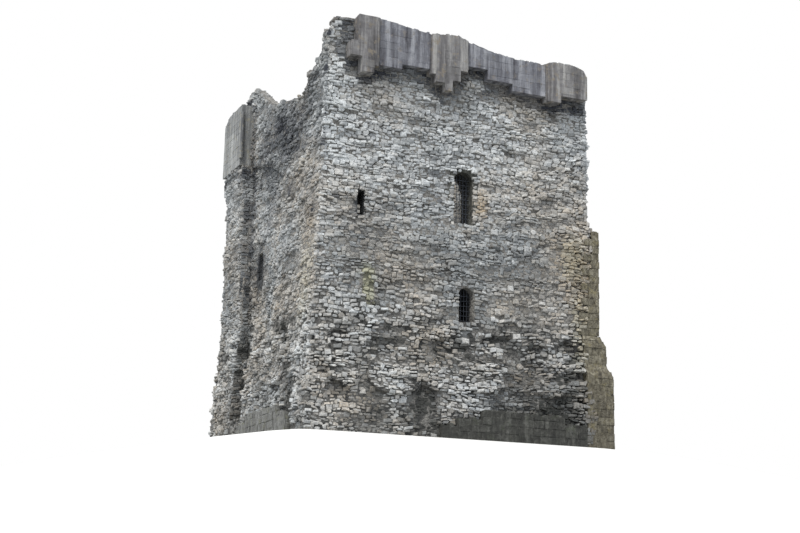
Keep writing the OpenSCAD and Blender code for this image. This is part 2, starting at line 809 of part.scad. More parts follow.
module doorway_arch() {
    color(ashlar) on_back() translate([0, 0, floor_top]) surround_arch(door_w, door_rise, door_face);
}

// The stone under the doorway, out to a given distance from the middle of the keep
module threshold_block(face) {
    half = door_w / 2 + surround_w;
    seat = core_half - surround_d;
    translate([-half, -face, floor_top - threshold_t]) cube([2 * half, face - seat, threshold_t]);
}

module doorway_threshold() { color(ashlar) on_back() threshold_block(door_face + surround_out); }

ground_floor();
floor_beams();
floor_joists();
floor_boards();
front_wall_lower();
right_wall_lower();
back_wall_lower();
left_wall_lower();
front_wall_upper();
right_wall_upper();
back_wall_upper();
left_wall_upper();
front_parapet();
right_parapet();
back_parapet();
left_parapet();
front_ashlar_band();
front_left_pilaster();
front_middle_pilaster();
front_right_pilaster();
right_ashlar_band();
right_left_pilaster();
right_middle_pilaster();
right_far_pilaster();
back_ashlar_band();
back_middle_pilaster();
back_left_pilaster();
far_corner_pilaster();
far_corner_rubble();
corner_quoins();
corner_plinth();
front_plinth();
left_plinth();
back_plinth();
right_plinth();
front_window_jambs();
front_window_arch();
right_window_jambs();
right_window_arch();
doorway_jambs();
doorway_arch();
doorway_threshold();
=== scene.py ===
import bpy
import math
import random
from functools import partial
import numpy as np
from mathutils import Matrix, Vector, noise
from mathutils.bvhtree import BVHTree


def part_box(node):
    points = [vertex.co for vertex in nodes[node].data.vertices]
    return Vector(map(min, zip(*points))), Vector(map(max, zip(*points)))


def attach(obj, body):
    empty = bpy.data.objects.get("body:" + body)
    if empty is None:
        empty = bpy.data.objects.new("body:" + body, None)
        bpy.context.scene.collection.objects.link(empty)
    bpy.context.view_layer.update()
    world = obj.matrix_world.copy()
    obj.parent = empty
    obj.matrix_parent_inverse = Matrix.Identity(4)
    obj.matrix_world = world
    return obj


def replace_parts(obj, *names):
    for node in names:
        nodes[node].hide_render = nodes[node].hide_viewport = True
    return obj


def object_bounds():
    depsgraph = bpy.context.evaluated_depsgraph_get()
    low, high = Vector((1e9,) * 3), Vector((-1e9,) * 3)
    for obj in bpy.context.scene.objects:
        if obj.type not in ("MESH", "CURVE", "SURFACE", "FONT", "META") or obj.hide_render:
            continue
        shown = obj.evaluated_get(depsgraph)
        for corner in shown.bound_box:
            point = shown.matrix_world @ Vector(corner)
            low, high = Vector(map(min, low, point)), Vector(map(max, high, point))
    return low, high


# Ruined stone keep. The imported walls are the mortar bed: every stone is laid on them by a ray,
# so stones stop at windows, at the surviving ashlar and at the broken wall tops.

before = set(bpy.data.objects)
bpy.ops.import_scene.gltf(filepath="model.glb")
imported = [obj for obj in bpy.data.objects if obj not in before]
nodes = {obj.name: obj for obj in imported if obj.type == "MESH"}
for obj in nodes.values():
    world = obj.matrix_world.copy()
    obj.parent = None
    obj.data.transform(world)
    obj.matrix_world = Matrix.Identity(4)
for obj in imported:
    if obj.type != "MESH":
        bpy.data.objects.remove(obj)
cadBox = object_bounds()
scene = bpy.context.scene
print("frame loaded,", len(nodes), "nodes")

up = Vector((0, 0, 1))
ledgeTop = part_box("front_wall_lower")[1].z     # top of the lower walls
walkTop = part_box("front_wall_upper")[1].z      # top of the upper walls, the wall-walk
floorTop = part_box("floor_boards")[1].z
skyline = cadBox[1][2]                         # top of the highest stone
sky = 30                                       # height from which rays are dropped
coreFace = -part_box("front_parapet")[0].x       # upright face of the rubble core
nearCorner = coreFace - 0.4                    # past this a course ends at a corner of the keep
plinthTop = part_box("corner_plinth")[1].z
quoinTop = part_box("corner_quoins")[1].z

sides = {
    "front": dict(out=Vector((0, -1, 0)), along=Vector((1, 0, 0))),
    "right": dict(out=Vector((1, 0, 0)), along=Vector((0, 1, 0))),
    "back": dict(out=Vector((0, 1, 0)), along=Vector((-1, 0, 0))),
    "left": dict(out=Vector((-1, 0, 0)), along=Vector((0, -1, 0))),
}
rubbleNodes = [n for n in nodes if "_wall_" in n or "parapet" in n or n == "far_corner_rubble"]
plinthNodes = ["front_plinth", "right_plinth", "back_plinth", "left_plinth"]
bandNodes = [n for n in nodes if "band" in n]
pilasterNodes = [n for n in nodes if "pilaster" in n]
surroundNodes = [n for n in nodes if "jambs" in n or "arch" in n or "threshold" in n]


# Materials

def linear(hexText):
    parts = [int(hexText[i:i + 2], 16) / 255 for i in (1, 3, 5)]
    return tuple(c / 12.92 if c <= 0.04045 else ((c + 0.055) / 1.055) ** 2.4 for c in parts) + (1.0,)


def addNode(tree, kind, *inputs, output=0, **settings):
    # inputs go to the sockets in their order, or by number or name where they are in a dictionary.
    # A socket among the values is linked. Gives one output, or all of them for output=None
    node = tree.nodes.new("ShaderNode" + kind)
    for number, value in enumerate(inputs):
        settings.update(value if isinstance(value, dict) else {number: value})
    for name, value in settings.items():
        if isinstance(value, bpy.types.NodeSocket):
            tree.links.new(value, node.inputs[name])
        elif isinstance(name, int) or name in node.inputs:
            node.inputs[name].default_value = value
        elif name == "stops":  # colour ramp: place and colour of each stop
            elements = node.color_ramp.elements
            while len(elements) < len(value):
                elements.new(0.5)
            for element, (place, colour) in zip(elements, value):
                element.position = place
                element.color = linear(colour)
        else:
            setattr(node, name, value)
    return node.outputs if output is None else node.outputs[output]


def newMaterial(name):
    material = bpy.data.materials.new(name)
    material.use_nodes = True
    material.node_tree.nodes.clear()
    add = partial(addNode, material.node_tree)
    return material, add, add("TexCoord", output="Object")


def finishMaterial(add, colour, height, rough, relief, metallic=0.0):
    bump = add("Bump", Distance=relief, Height=height)
    add("OutputMaterial", add("BsdfPrincipled", colour, metallic, rough, Normal=bump), output=None)


def layColours(add, base, layers):
    # each layer is a share from 0 to 1, and the colour that covers what lies under it
    for share, colour in layers:
        colour = linear(colour) if isinstance(colour, str) else colour
        base = add("Mix", {0: share, 6: base, 7: colour}, data_type="RGBA", output=2)
    return base


def addUp(add, *shares):
    # the sum of some patterns, each times its share
    total = 0.0
    for pattern, share in shares:
        total = add("Math", pattern, share, total, operation="MULTIPLY_ADD")
    return total


def zone(add, axes, bounds):
    # 1 inside a box and 0 outside it, with edges 0.1 m soft
    share = 1.0
    for axis, (low, high) in bounds.items():
        for edge, inner in ((low, low + 0.1), (high, high - 0.1)):
            share = add("Math", share, add("MapRange", axes[axis], edge, inner), operation="MULTIPLY")
    return share


def stoneTone(add):
    # lightness, warmth, stain with painted shade, and lichen that each laid stone carries
    tone = add("Attribute", attribute_name="stoneTone", output=None)
    return [*add("SeparateColor", tone["Color"], output=None), tone["Alpha"]]


# Weathered limestone rubble: broken faces, grey and buff, with pale crusts, and painted shade on the sides
# towards the bed
def makeRubbleStone():
    material, add, place = newMaterial("weatheredLimestone")
    light, warm, stain, lichen = stoneTone(add)
    # each pattern from the width of its blotches in metres
    mottle, crust, growth, grit = [
        add("TexNoise", Vector=place, Scale=1 / width, Detail=detail, Roughness=rough)
        for width, detail, rough in ((0.07, 4, 0.6), (0.045, 5, 0.62), (0.05, 4, 0.55), (0.022, 6, 0.7))]
    base = add("ValToRGB", light, stops=[
        (0.0, "#5e6163"), (0.3, "#858888"), (0.6, "#adb0af"), (0.82, "#c9cbca"), (1.0, "#dfe2e1")])
    higher = add("MapRange", add("SeparateXYZ", place, output="Z"), 5.0, 9.0)
    growth = add("MapRange", growth, 0.34, 0.5, 0.7, 1.0)
    base = layColours(add, base, [
        (warm, "#b3a084"),
        (add("MapRange", mottle, 0.42, 0.64, 0.0, 0.55), "#75777a"),
        (add("MapRange", crust, 0.55, 0.64, 0.0, 0.5), "#dcdedd"),  # crusts of lichen, 20 to 60 mm
        # soil at the foot, blue-black growth higher up, and the painted shade of crevices, hollows and joints
        # that the stain carries
        (stain, layColours(add, linear("#393a37"), [(higher, "#34373e")])),
        # yellow-green lichen where water runs
        (add("Math", lichen, growth, operation="MULTIPLY"), "#aeac92"),
    ])
    height = addUp(add, (mottle, 0.6), (grit, 0.4))
    finishMaterial(add, base, height, add("MapRange", grit, 0.3, 0.7, 0.8, 0.98), 0.04)
    return material


# Lime mortar and small packing stones between the rubble; inside the openings it is painted dark, as painted
# shade
def makeMortarBed():
    material, add, place = newMaterial("limeMortarBed")
    packing = add("TexVoronoi", Vector=place, Scale=11.0)  # stones about 90 mm across
    sand, soil, pores = [
        add("TexNoise", Vector=place, Scale=1 / width, Detail=detail, Roughness=0.55)
        for width, detail in ((0.15, 4), (0.5, 3), (0.03, 5))]
    base = add("ValToRGB", sand, stops=[(0.3, "#575552"), (0.5, "#7b7873"), (0.7, "#99968f")])
    axes = add("SeparateXYZ", place, output=None)
    outward = [add("Math", axes[axis], operation="ABSOLUTE") for axis in "XY"]
    outward = add("Math", *outward, operation="MAXIMUM")
    # painted shade in the depth of the openings, apart from what the hollow of the left wall opens to the
    # light
    within = add("Math", add("MapRange", outward, 5.55, 5.45), add("MapRange", outward, 3.8, 4.0),
                 operation="MULTIPLY")
    leftSlitShade = zone(add, axes, {"Y": (1.55, 2.45), "Z": (6.5, 8.1)})
    frontSlitShade = zone(add, axes, {"X": (-4.4, -3.75), "Y": (-5.82, -4.5), "Z": (8.0, 9.25)})
    inside = add("Math", leftSlitShade, add("MapRange", axes["X"], -4.75, -4.6), operation="MAXIMUM")
    within = add("Math", within, inside, operation="MULTIPLY")
    within = add("Math", within, frontSlitShade, operation="MAXIMUM")
    walled = add("MapRange", axes["Z"], walkTop, walkTop - 0.1, 0.0, 0.85)
    low = add("MapRange", axes["Z"], 4.9, 4.3)
    base = layColours(add, base, [
        (add("MapRange", packing, 0.25, 0.55, 0.5, 0.0), "#aaa8a2"),
        # painted shade inside the openings and slits, below the wall-walk
        (add("Math", within, walled, operation="MULTIPLY"), "#2a3036"),
        # soil and damp at the foot, with painted shade of its crevices
        (add("Math", add("MapRange", soil, 0.44, 0.56, 0.25, 0.85), low, operation="MULTIPLY"), "#2b2d2d"),
        # lichen where water runs down the front
        (zone(add, axes, {"X": (-4.0, -3.44), "Y": (-9.0, -5.5), "Z": (4.9, 6.2)}), "#7f7e6c"),
    ])
    height = addUp(add, (pores, 1.0), (packing, -1.0))
    finishMaterial(add, base, height, add("MapRange", height, 0.0, 1.0, 0.85, 0.98), 0.05)
    return material


# Gritstone ashlar: squared and tooled, streaked downwards by rain and pitted by frost, with painted shade
# darkening the blocks' sides at the joints
def makeAshlar(name, look):
    material, add, place = newMaterial(name)
    light, _, stain, _ = stoneTone(add)
    runs, wash = [  # rain runs, 0.05 to 0.2 m wide, and a finer wash
        add("TexNoise", Vector=add("Mapping", Vector=place, Scale=(1, 1, upright)), Scale=1 / width,
            Detail=4, Roughness=rough)
        for width, rough, upright in ((0.26, 0.62, 0.07), (0.13, 0.65, 0.3))]
    # the grit of 1 to 3 mm is drawn coarser, to show
    mottle, patches, pits, grit, damp = [
        add("TexNoise", Vector=place, Scale=1 / width, Detail=detail, Roughness=rough)
        for width, detail, rough in (
            (0.16, 5, 0.62), (0.28, 6, 0.7), (0.06, 5, 0.65), (0.02, 5, 0.65), (0.8, 4, 0.55))]
    share, reach, grown = look["runs"], look["reach"], look["grown"]
    tone = addUp(add, (runs, share), (wash, 0.55 * (1 - share)), (mottle, 0.45 * (1 - share)))
    base = add("ValToRGB", tone, stops=[
        (0.5 - reach, look["dark"]), (0.5, look["mid"]), (0.5 + reach, look["pale"])])
    pits = add("MapRange", pits, 0.56, 0.66, 0.0, look["pitted"])
    rise = addUp(add, (add("SeparateXYZ", place, output="Z"), 1.0), (damp, 2.0))
    base = layColours(add, base, [
        (add("Math", light, 0.7, operation="MULTIPLY"), look["pale"]),
        (add("MapRange", patches, 0.62 - grown, 0.7 - grown, 0.0, 0.75), look["lichen"]),
        (pits, look["dark"]),
        (add("Math", stain, 0.85, operation="MULTIPLY"), look["soot"]),
        # ground damp darkens the lowest courses
        (add("MapRange", rise, 1.0, 4.5, look["damp"], 0.0), look["dark"]),
    ])
    height = addUp(add, (mottle, 0.7), (grit, 0.3), (pits, -0.4))
    finishMaterial(add, base, height, add("MapRange", grit, 0.3, 0.7, 0.78, 0.97), look["relief"])
    return material


# Sawn oak, silvered by the weather: grain runs along the timber
def makeOak(name, stretch):
    material, add, place = newMaterial(name)
    along = add("Mapping", Vector=place, Scale=stretch)
    grain = add("TexNoise", Vector=along, Scale=1 / 0.03, Detail=6, Roughness=0.6)
    base = add("ValToRGB", grain, stops=[(0.3, "#55504a"), (0.5, "#7a746c"), (0.7, "#98928a")])
    shade = add("Math", stoneTone(add)[0], 0.5, operation="MULTIPLY")
    base = layColours(add, base, [(shade, "#5f584f")])
    finishMaterial(add, base, grain, add("MapRange", grain, 0.3, 0.7, 0.6, 0.85), 0.004)
    return material


# Forged iron bars whose black paint has chalked to grey, with rust at the laps
def makeIron():
    material, add, place = newMaterial("chalkedBlackIron")
    rust = add("TexNoise", Vector=place, Scale=1 / 0.05, Detail=4, Roughness=0.55)
    base = add("ValToRGB", rust, stops=[(0.45, "#464b53"), (0.65, "#585d66"), (0.8, "#5a463a")])
    finishMaterial(add, base, rust, add("MapRange", rust, 0.3, 0.8, 0.45, 0.8), 0.002, 0.4)
    return material


# What the looks of ashlar share, and where each differs: its colours, how far they reach from the
# middle tone, the share of rain runs, lichen, pits, ground damp, and relief in metres
ashlar = dict(grown=0.07, runs=0.72, reach=0.12, pitted=0.35, damp=0.0, relief=0.03)
ashlarLooks = {
    "streakedGritstone": dict(ashlar, pale="#a6a7ab", mid="#74757b", dark="#48474c", soot="#2f3035",
                              lichen="#857f79", grown=0.06, reach=0.115),
    "buffStreakedGritstone": dict(ashlar, pale="#a8a6a2", mid="#787676", dark="#4d4b4b", soot="#333335",
                                  lichen="#8c8272", reach=0.115),
    "paleGritstone": dict(ashlar, pale="#b3b4b1", mid="#838483", dark="#5b5c5e", soot="#434447",
                          lichen="#969180", runs=0.7, reach=0.13, pitted=0.3),
    "buffGritstone": dict(ashlar, pale="#a19b89", mid="#736d5c", dark="#443f35", soot="#2d2c28",
                          lichen="#857c5c", runs=0.1, pitted=0.75, damp=0.35, relief=0.07),
    "darkPlinthStone": dict(ashlar, pale="#7b7b74", mid="#484843", dark="#2c2c2a", soot="#1e1f1d",
                            lichen="#53574a", grown=0.05, runs=0.3, pitted=0.6, damp=0.3, relief=0.05),
    "palePlinthStone": dict(ashlar, pale="#a5a5a1", mid="#767672", dark="#474745", soot="#2c2c2b",
                            lichen="#80806f", grown=0.08, runs=0.4, pitted=0.5, damp=0.15, relief=0.05),
    "wornFlagstone": dict(ashlar, pale="#9e9a92", mid="#85817a", dark="#5f5b55", soot="#3c3a36",
                          lichen="#7c7f70", grown=0.0, runs=0.0, reach=0.16, pitted=0.3, relief=0.02),
}
rubbleStone = makeRubbleStone()
mortarBed = makeMortarBed()
squaredStones = {name: makeAshlar(name, look) for name, look in ashlarLooks.items()}
oakAlongX = makeOak("silveredOakAlongX", (0.06, 1, 1))
oakAlongY = makeOak("silveredOakAlongY", (1, 0.06, 1))
iron = makeIron()
print("materials made")


# Modelling helpers

def paint(piece, material):
    piece.data.materials.clear()
    piece.data.materials.append(material)


def dress(piece, material):
    paint(piece, material)
    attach(piece, "root")
    return piece


def editMode(piece):
    bpy.ops.object.select_all(action="DESELECT")
    piece.select_set(True)
    bpy.context.view_layer.objects.active = piece
    bpy.ops.object.mode_set(mode="EDIT")


def selectFaces(piece, test):
    bpy.ops.mesh.select_mode(type="FACE")
    bpy.ops.object.mode_set(mode="OBJECT")
    for part in (piece.data.vertices, piece.data.edges):
        part.foreach_set("select", [False] * len(part))
    for face in piece.data.polygons:
        face.select = test(face)
    bpy.ops.object.mode_set(mode="EDIT")


def takeShape(piece):
    # a modelled piece as points and triangles, ready to be copied many times
    bpy.ops.mesh.select_all(action="SELECT")
    bpy.ops.mesh.quads_convert_to_tris()
    bpy.ops.object.mode_set(mode="OBJECT")
    points = np.array([v.co for v in piece.data.vertices])
    faces = np.array([tuple(p.vertices) for p in piece.data.polygons])
    bpy.data.objects.remove(piece)
    return points, faces


# A stone is modelled as a short prism whose front, at -Y, is set in, pulled out and knocked about
def modelStone(plan, seed):
    bpy.ops.object.select_all(action="DESELECT")
    bpy.ops.mesh.primitive_cylinder_add(vertices=plan["corners"], radius=0.5, depth=1)
    stone = bpy.context.object
    for turn in ((0, 0, math.pi / plan["corners"]), (math.pi / 2, 0, 0)):
        stone.rotation_euler = turn
        bpy.ops.object.transform_apply(location=False, rotation=True, scale=False)
    editMode(stone)
    selectFaces(stone, lambda face: face.normal.y < -0.9)
    bpy.ops.mesh.inset(thickness=plan["inset"])
    bpy.ops.transform.translate(value=(0, -plan["pull"], 0))
    bpy.ops.transform.vertex_random(offset=plan["rough"], uniform=0.4, normal=0.0, seed=seed)
    bpy.ops.mesh.select_all(action="SELECT")
    bpy.ops.transform.vertex_random(offset=plan["outline"], uniform=0.5, normal=0.0, seed=seed + 50)
    points, faces = takeShape(stone)
    for axis in (0, 2):
        low, high = np.percentile(points[:, axis], 4), np.percentile(points[:, axis], 96)
        points[:, axis] = (points[:, axis] - low) / (high - low) - 0.5
    back, front = points[:, 1].max(), points[:, 1].min()
    points[:, 1] = (back - points[:, 1]) / (back - front)
    return points, faces  # Y now runs from 0 at the back to 1 at the front


stonePlans = [
    dict(corners=4, inset=0.11, pull=0.35, rough=0.15, outline=0.06),
    dict(corners=6, inset=0.1, pull=0.35, rough=0.14, outline=0.05),
    dict(corners=4, inset=0.15, pull=0.3, rough=0.13, outline=0.05),
]
blockPlan = dict(corners=4, inset=0.02, pull=0.2, rough=0.006, outline=0.006)
wornPlan = dict(corners=4, inset=0.06, pull=0.3, rough=0.05, outline=0.025)
stoneShapes = [modelStone(stonePlans[i % 3], 10 + i) for i in range(24)]
plainShapes = stoneShapes[::3]  # four-sided ones, for the inside
blockShapes = [modelStone(blockPlan, 60 + i) for i in range(6)]
wornShapes = [modelStone(wornPlan, 80 + i) for i in range(10)]  # squared stones with broken arrises
print("stones modelled:", len(stoneShapes), "rough,", len(blockShapes) + len(wornShapes), "squared")


# The keep as one tree for rays, with the node that each triangle is from

def rayTree():
    points, faces, owners = [], [], []
    for name, node in nodes.items():
        start, mesh = len(points), node.data
        mesh.calc_loop_triangles()
        points += [v.co.copy() for v in mesh.vertices]
        for triangle in mesh.loop_triangles:
            faces.append([start + i for i in triangle.vertices])
            owners.append(name)
    return BVHTree.FromPolygons(points, faces), owners


keepTree, keepOwners = rayTree()


def placeOn(side, u, outward, z):
    # a place along, out from and up one side of the keep
    return sides[side]["along"] * u + sides[side]["out"] * outward + up * z


def pointsOn(side, u, outward, z):
    # the same for many places at once
    parts = ((u, sides[side]["along"]), (outward, sides[side]["out"]), (z, up))
    return sum(amount[..., None] * np.array(axis) for amount, axis in parts)


def castAt(side, u, z, plan):
    # how far out from the middle of the keep a wall is met, and the node's name
    start, facing = placeOn(side, u, plan["start"], z), plan["facing"]
    hit, normal, index, distance = keepTree.ray_cast(start, -facing * sides[side]["out"])
    return (plan["start"] - facing * distance, keepOwners[index]) if hit else (None, None)


def wave(u, z, seed, size):
    return noise.noise(Vector((u / size, z / size, seed * 7.31)))


def waves(u, z, layers):
    # each layer: amount, how flat it lies, seed, and size in metres
    return sum(amount * wave(u, z * flat, seed, size) for amount, flat, seed, size in layers)


def spot(u, z, place, level, halfWide, halfHigh, power=2):
    # 1 in the middle of a spot, and less and less around it
    return math.exp(-((u - place) / halfWide) ** power - ((z - level) / halfHigh) ** power)


clamp = lambda value: max(0.0, min(1.0, value))


# Lays courses on one side. Every stone fills a stretch where the ray meets the wanted nodes at
# an even depth, so edges of openings, of the facing and of broken tops bound the work.

def findStretches(side, low, high, plan):
    # low and high give the course's beds; depths are taken near both and midway
    stretches, current, inset = [], [], 0.15
    for i in range(int((plan["uTo"] - plan["uFrom"]) / plan["sample"]) + 1):
        u = plan["uFrom"] + i * plan["sample"]
        bottom, top = low(u), high(u)
        heights = (bottom + inset * (top - bottom), (bottom + top) / 2, top - inset * (top - bottom))
        hits = [castAt(side, u, z, plan) for z in heights]
        depths = [h[0] for h in hits]
        good = all(h[1] in plan["nodes"] for h in hits) and plan["within"](side, u, heights[1], hits[1][1])
        behind = depths[1]
        if good and plan["surface"]:
            depths = [plan["surface"](side, u, z, depth) for z, depth in zip(heights, depths)]
        good = good and plan["nearest"] < min(depths) and max(depths) < plan["farthest"]
        good = good and max(depths) - min(depths) < plan["step"]
        if current and (not good or abs(depths[1] - current[-1][1]) > plan["step"] * 0.7):
            stretches.append(current)
            current = []
        if good:
            slope = (depths[2] - depths[0]) / (1 - 2 * inset)
            current.append((u, depths[1], slope, max(0.0, depths[1] - behind)))
    if current:
        stretches.append(current)
    return [s for s in stretches if s[-1][0] - s[0][0] >= plan["shortest"] * 0.6]

bedWaves = [(1.0, 1, 1, 3.0), (0.35, 1, 2, 0.7)]


def layCourses(side, plan, rng):
    cells = []
    z = plan["bottom"]
    while z < plan["top"] - plan["lowest"] * 0.5:
        height = rng.uniform(plan["lowest"], plan["highest"])
        z1 = min(z + height, plan["top"])
        bed = lambda u, z: z + plan["wobble"] * waves(u, z, bedWaves)
        low, high = (lambda u: bed(u, z)), (lambda u: bed(u, z1))
        for stretch in findStretches(side, low, high, plan):
            places, depths, slopes, fills = zip(*stretch)
            start, end = places[0] - plan["sample"] / 2, places[-1] + plan["sample"] / 2
            if abs(start) > nearCorner:
                start -= rng.uniform(0, plan["arris"])
            if abs(end) > nearCorner:
                end += rng.uniform(0, plan["arris"])
            u = start
            while u < end - 0.02:  # a gap under 20 mm stays a joint
                u1 = u + rng.uniform(plan["shortest"], plan["longest"])
                if end - u1 < plan["shortest"] * 0.7:
                    u1 = end
                cell = layStone(side, plan, u, u1, low, high, rng)
                if cell:
                    slope, fill = (np.interp((u + u1) / 2, places, values) for values in (slopes, fills))
                    cells.append(cell + tuple(np.interp((u, u1), places, depths)) + (slope, fill))
                u = u1
        z = z1
    return cells


def layStone(side, plan, u, u1, low, high, rng):
    middle = (u + u1) / 2
    level = (low(middle) + high(middle)) / 2
    if rng.random() < plan["missing"] or any(
            abs(middle - g[0]) < g[2] and abs(level - g[1]) < g[3] for g in plan["gaps"].get(side, ())):
        return None
    shift = rng.uniform(-1, 1) * plan["jitter"]
    slant = rng.uniform(-1, 1) * plan["skew"] * (u1 - u)
    lows = [low(u) + shift - slant, low(u1) + shift + slant]
    highs = [high(u) + shift - slant, high(u1) + shift + slant]
    proud = plan["relief"](side, middle, level) + rng.uniform(-1, 1) * plan["uneven"]
    if rng.random() < plan["jumpers"]:  # a taller stone that breaks the course above it
        highs = [v + rng.uniform(*plan["rise"]) for v in highs]
        proud += 0.02
    return (u, u1, lows[0], lows[1], highs[0], highs[1], max(proud, plan["least"]),
            rng.uniform(*plan["joint"]), rng.uniform(-1, 1) * plan["tilt"], rng.uniform(-1, 1) * plan["tilt"],
            rng.randrange(1000)) + plan["toneOf"](side, middle, level, rng)


# Stones that reach the outermost plane end up to 12 mm behind it, so that no two faces lie in one plane;
# painted shade darkens each stone's sides towards the bed, over this share of its depth
ending = dict(stagger=0.012, belowSky=0.005, rimDepth=0.7)


def cellsToParts(side, cells, plan):
    parts, data, facing, shapes = [], np.array(cells), plan["facing"], plan["shapes"]
    kinds = data[:, 10].astype(int) % len(shapes)
    for kind, (shape, faces) in enumerate(shapes):
        rows = data[kinds == kind]
        if not len(rows):
            continue
        u0, u1, zl0, zl1, zh0, zh1, proud, joint, tiltU, tiltZ, number = rows.T[:11, :, None]
        d0, d1, slope, fill = rows.T[15:, :, None]
        bed = plan["bed"] + fill
        limits = plan["limit"] - ending["stagger"] * ((number * 0.618) % 1)
        along, upward, outward = facing * shape[:, 0] + 0.5, shape[:, 2] + 0.5, shape[:, 1]
        u = np.clip(u0 + joint / 2 + along * (u1 - u0 - joint), -limits, limits)
        low = zl0 + along * (zl1 - zl0) + joint / 2
        high = zh0 + along * (zh1 - zh0) - joint / 2
        z = np.clip(low + upward * (high - low), 0.0, skyline - ending["belowSky"])
        lean = tiltU * (along - 0.5) * (u1 - u0) + tiltZ * (upward - 0.5) * (high - low)
        depth = d0 + along * (d1 - d0) + slope * (upward - 0.5)
        depth = depth + facing * (outward * (proud + bed + lean) - bed)
        points = pointsOn(side, u, np.minimum(depth, limits), z)
        count = len(shape)
        index = (faces + (np.arange(len(rows)) * count)[:, None, None]).reshape(-1, 3)
        tones = np.repeat(rows[:, None, 11:15], count, axis=1)
        # painted shade on each stone's sides, darkest at the bed
        rimShades = plan["rim"] * np.clip(1 - outward / ending["rimDepth"], 0, 1)
        tones[:, :, 2] = np.clip(tones[:, :, 2] + rimShades, 0, 1)
        parts.append((points.reshape(-1, 3), index, tones.reshape(-1, 4)))
    return parts


def makePiece(name, parts, material=rubbleStone):
    starts = np.cumsum([0] + [len(points) for points, faces, tones in parts])
    points, tones = (np.concatenate([part[i] for part in parts]) for i in (0, 2))
    faces = np.concatenate([part[1] + start for part, start in zip(parts, starts)])
    mesh = bpy.data.meshes.new(name)
    mesh.from_pydata(points.tolist(), [], faces.tolist())
    colour = mesh.attributes.new("stoneTone", "FLOAT_COLOR", "POINT")
    colour.data.foreach_set("color", tones.ravel().astype(np.float32))
    mesh.update()
    piece = bpy.data.objects.new(name, mesh)
    scene.collection.objects.link(piece)
    print(name, "made,", len(faces), "triangles")
    return dress(piece, material)


# Rubble outside

# Holes where a stone has gone: place and height, half width and half height
lostStones = {
    "front": [
        (0.8, 10.2, 0.14, 0.08), (4.85, 3.85, 0.2, 0.16), (5, 2.75, 0.22, 0.16), (4.7, 5, 0.16, 0.14),
        (-5.4, 8.6, 0.12, 0.12), (1.2, 4.2, 0.4, 0.07), (-0.6, 3.3, 0.35, 0.09), (2, 3.35, 0.3, 0.12),
        (3.3, 3.3, 0.25, 0.08), (-4.9, 3.2, 0.3, 0.07), (-1.5, 0.7, 0.25, 0.2), (-1.9, 1.5, 0.2, 0.1),
        (1.4, 3.1, 0.2, 0.1), (0.4, 3.75, 0.2, 0.08), (2.6, 3, 0.18, 0.1),
    ],
    "left": [(1.5, 10, 0.15, 0.3), (0.9, 5, 0.2, 0.3), (5.3, 4.1, 0.2, 0.1)],
}

outerRubble = dict(facing=1, start=9.0, uFrom=-6.3, uTo=6.3, sample=0.05, nearest=4.9, farthest=9.0,
                   step=0.16, limit=cadBox[1][0], bottom=0.0, top=skyline, lowest=0.06, highest=0.15,
                   shortest=0.11, longest=0.36, joint=(-0.016, 0.018), arris=0.07, wobble=0.13,
                   jitter=0.03, skew=0.1, uneven=0.04, least=0.012, bed=0.05, tilt=0.25, missing=0.045,
                   jumpers=0.16, rise=(0.05, 0.11), rim=0.2, surface=None, nodes=rubbleNodes,
                   shapes=stoneShapes, gaps=lostStones, within=lambda side, u, z, owner: True)
# The lower walls are rougher, and their foot up to 4.6 m has its own relief
foot = dict(uneven=0.055, missing=0.06, joint=(-0.01, 0.04), rim=0.4)
footTop = 4.6

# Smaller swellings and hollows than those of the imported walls: place and height, half width and
# half height, depth in metres
swellings = {
    "front": [
        (0.6, 4.05, 1.9, 0.12, -0.05), (-1.55, 1.1, 0.7, 0.8, -0.14), (-5.3, 2.9, 0.3, 0.25, -0.06),
        (0.2, 13.7, 4, 0.4, -0.03), (5.6, 11.2, 0.9, 1.7, 0.12),
    ],
    "left": [
        (-4.6, 3, 1, 2, 0.03), (5.3, 3.2, 0.5, 1.2, 0.05), (5.2, 8, 0.5, 1.5, -0.04),
        (-1.9, 7.4, 0.5, 0.9, -0.12),
    ],
    "right": [(-5.6, 11.2, 0.9, 1.7, 0.12)],
    "back": [(4.6, 2.2, 0.9, 1.4, 0.04)],
}

# The corner's facing has lost its inner edge, and rubble reaches over it: height, and how far
# from the middle of the wall the facing still shows
facedFrom = [
    (0.0, 5.58), (1.4, 5.56), (2.8, 5.44), (4.1, 5.2), (5.5, 5.16), (7.0, 5.45), (8.4, 5.66), (9.0, 5.8),
]
cornerFacing = ["corner_quoins", "corner_plinth"]
cornerHand = {"front": 1, "right": -1, "back": 0, "left": 0}  # the end of the wall that has it


def facingEdge(z):
    heights, places = zip(*facedFrom)
    return float(np.interp(z, heights, places)) + 0.45 * wave(z, 0.0, 9, 0.45)


# Deep hollows between the stones, sunk into the relief and painted dark as painted shade: place and height,
# half width and half height
deepSpots = {
    "front": [
        (-3.2, 3.5, 0.9, 0.35), (-0.8, 3.25, 0.5, 0.18), (-0.3, 3.5, 0.4, 0.16), (0.42, 3.82, 0.4, 0.14),
        (1.56, 3.83, 0.4, 0.14), (2.1, 3.55, 0.6, 0.2), (2.73, 3.06, 0.4, 0.15), (0.43, 3.04, 0.35, 0.13),
        (1.18, 3.11, 0.4, 0.13), (4.8, 3.8, 0.25, 0.2), (4.9, 2.75, 0.28, 0.22), (4.31, 2.49, 0.3, 0.14),
        (-1.13, 0.39, 0.35, 0.16), (-3.7, 4.84, 0.4, 0.15), (-5.1, 3, 0.4, 0.13), (-5, 2.2, 0.35, 0.12),
        (-5, 8.7, 0.15, 0.15),
    ],
    "left": [
        (1.9, 4.45, 0.35, 0.25), (3.6, 4.3, 1.1, 0.16), (3, 3.9, 0.3, 0.3), (3.7, 2.4, 0.4, 0.5),
        (4.2, 1.4, 0.4, 0.5), (2.1, 9.7, 0.3, 0.35), (5, 8.3, 0.25, 0.25),
    ],
}

creviceBands = [(3.5, 1.0), (1.2, 0.5)]  # height of each band, and its strength


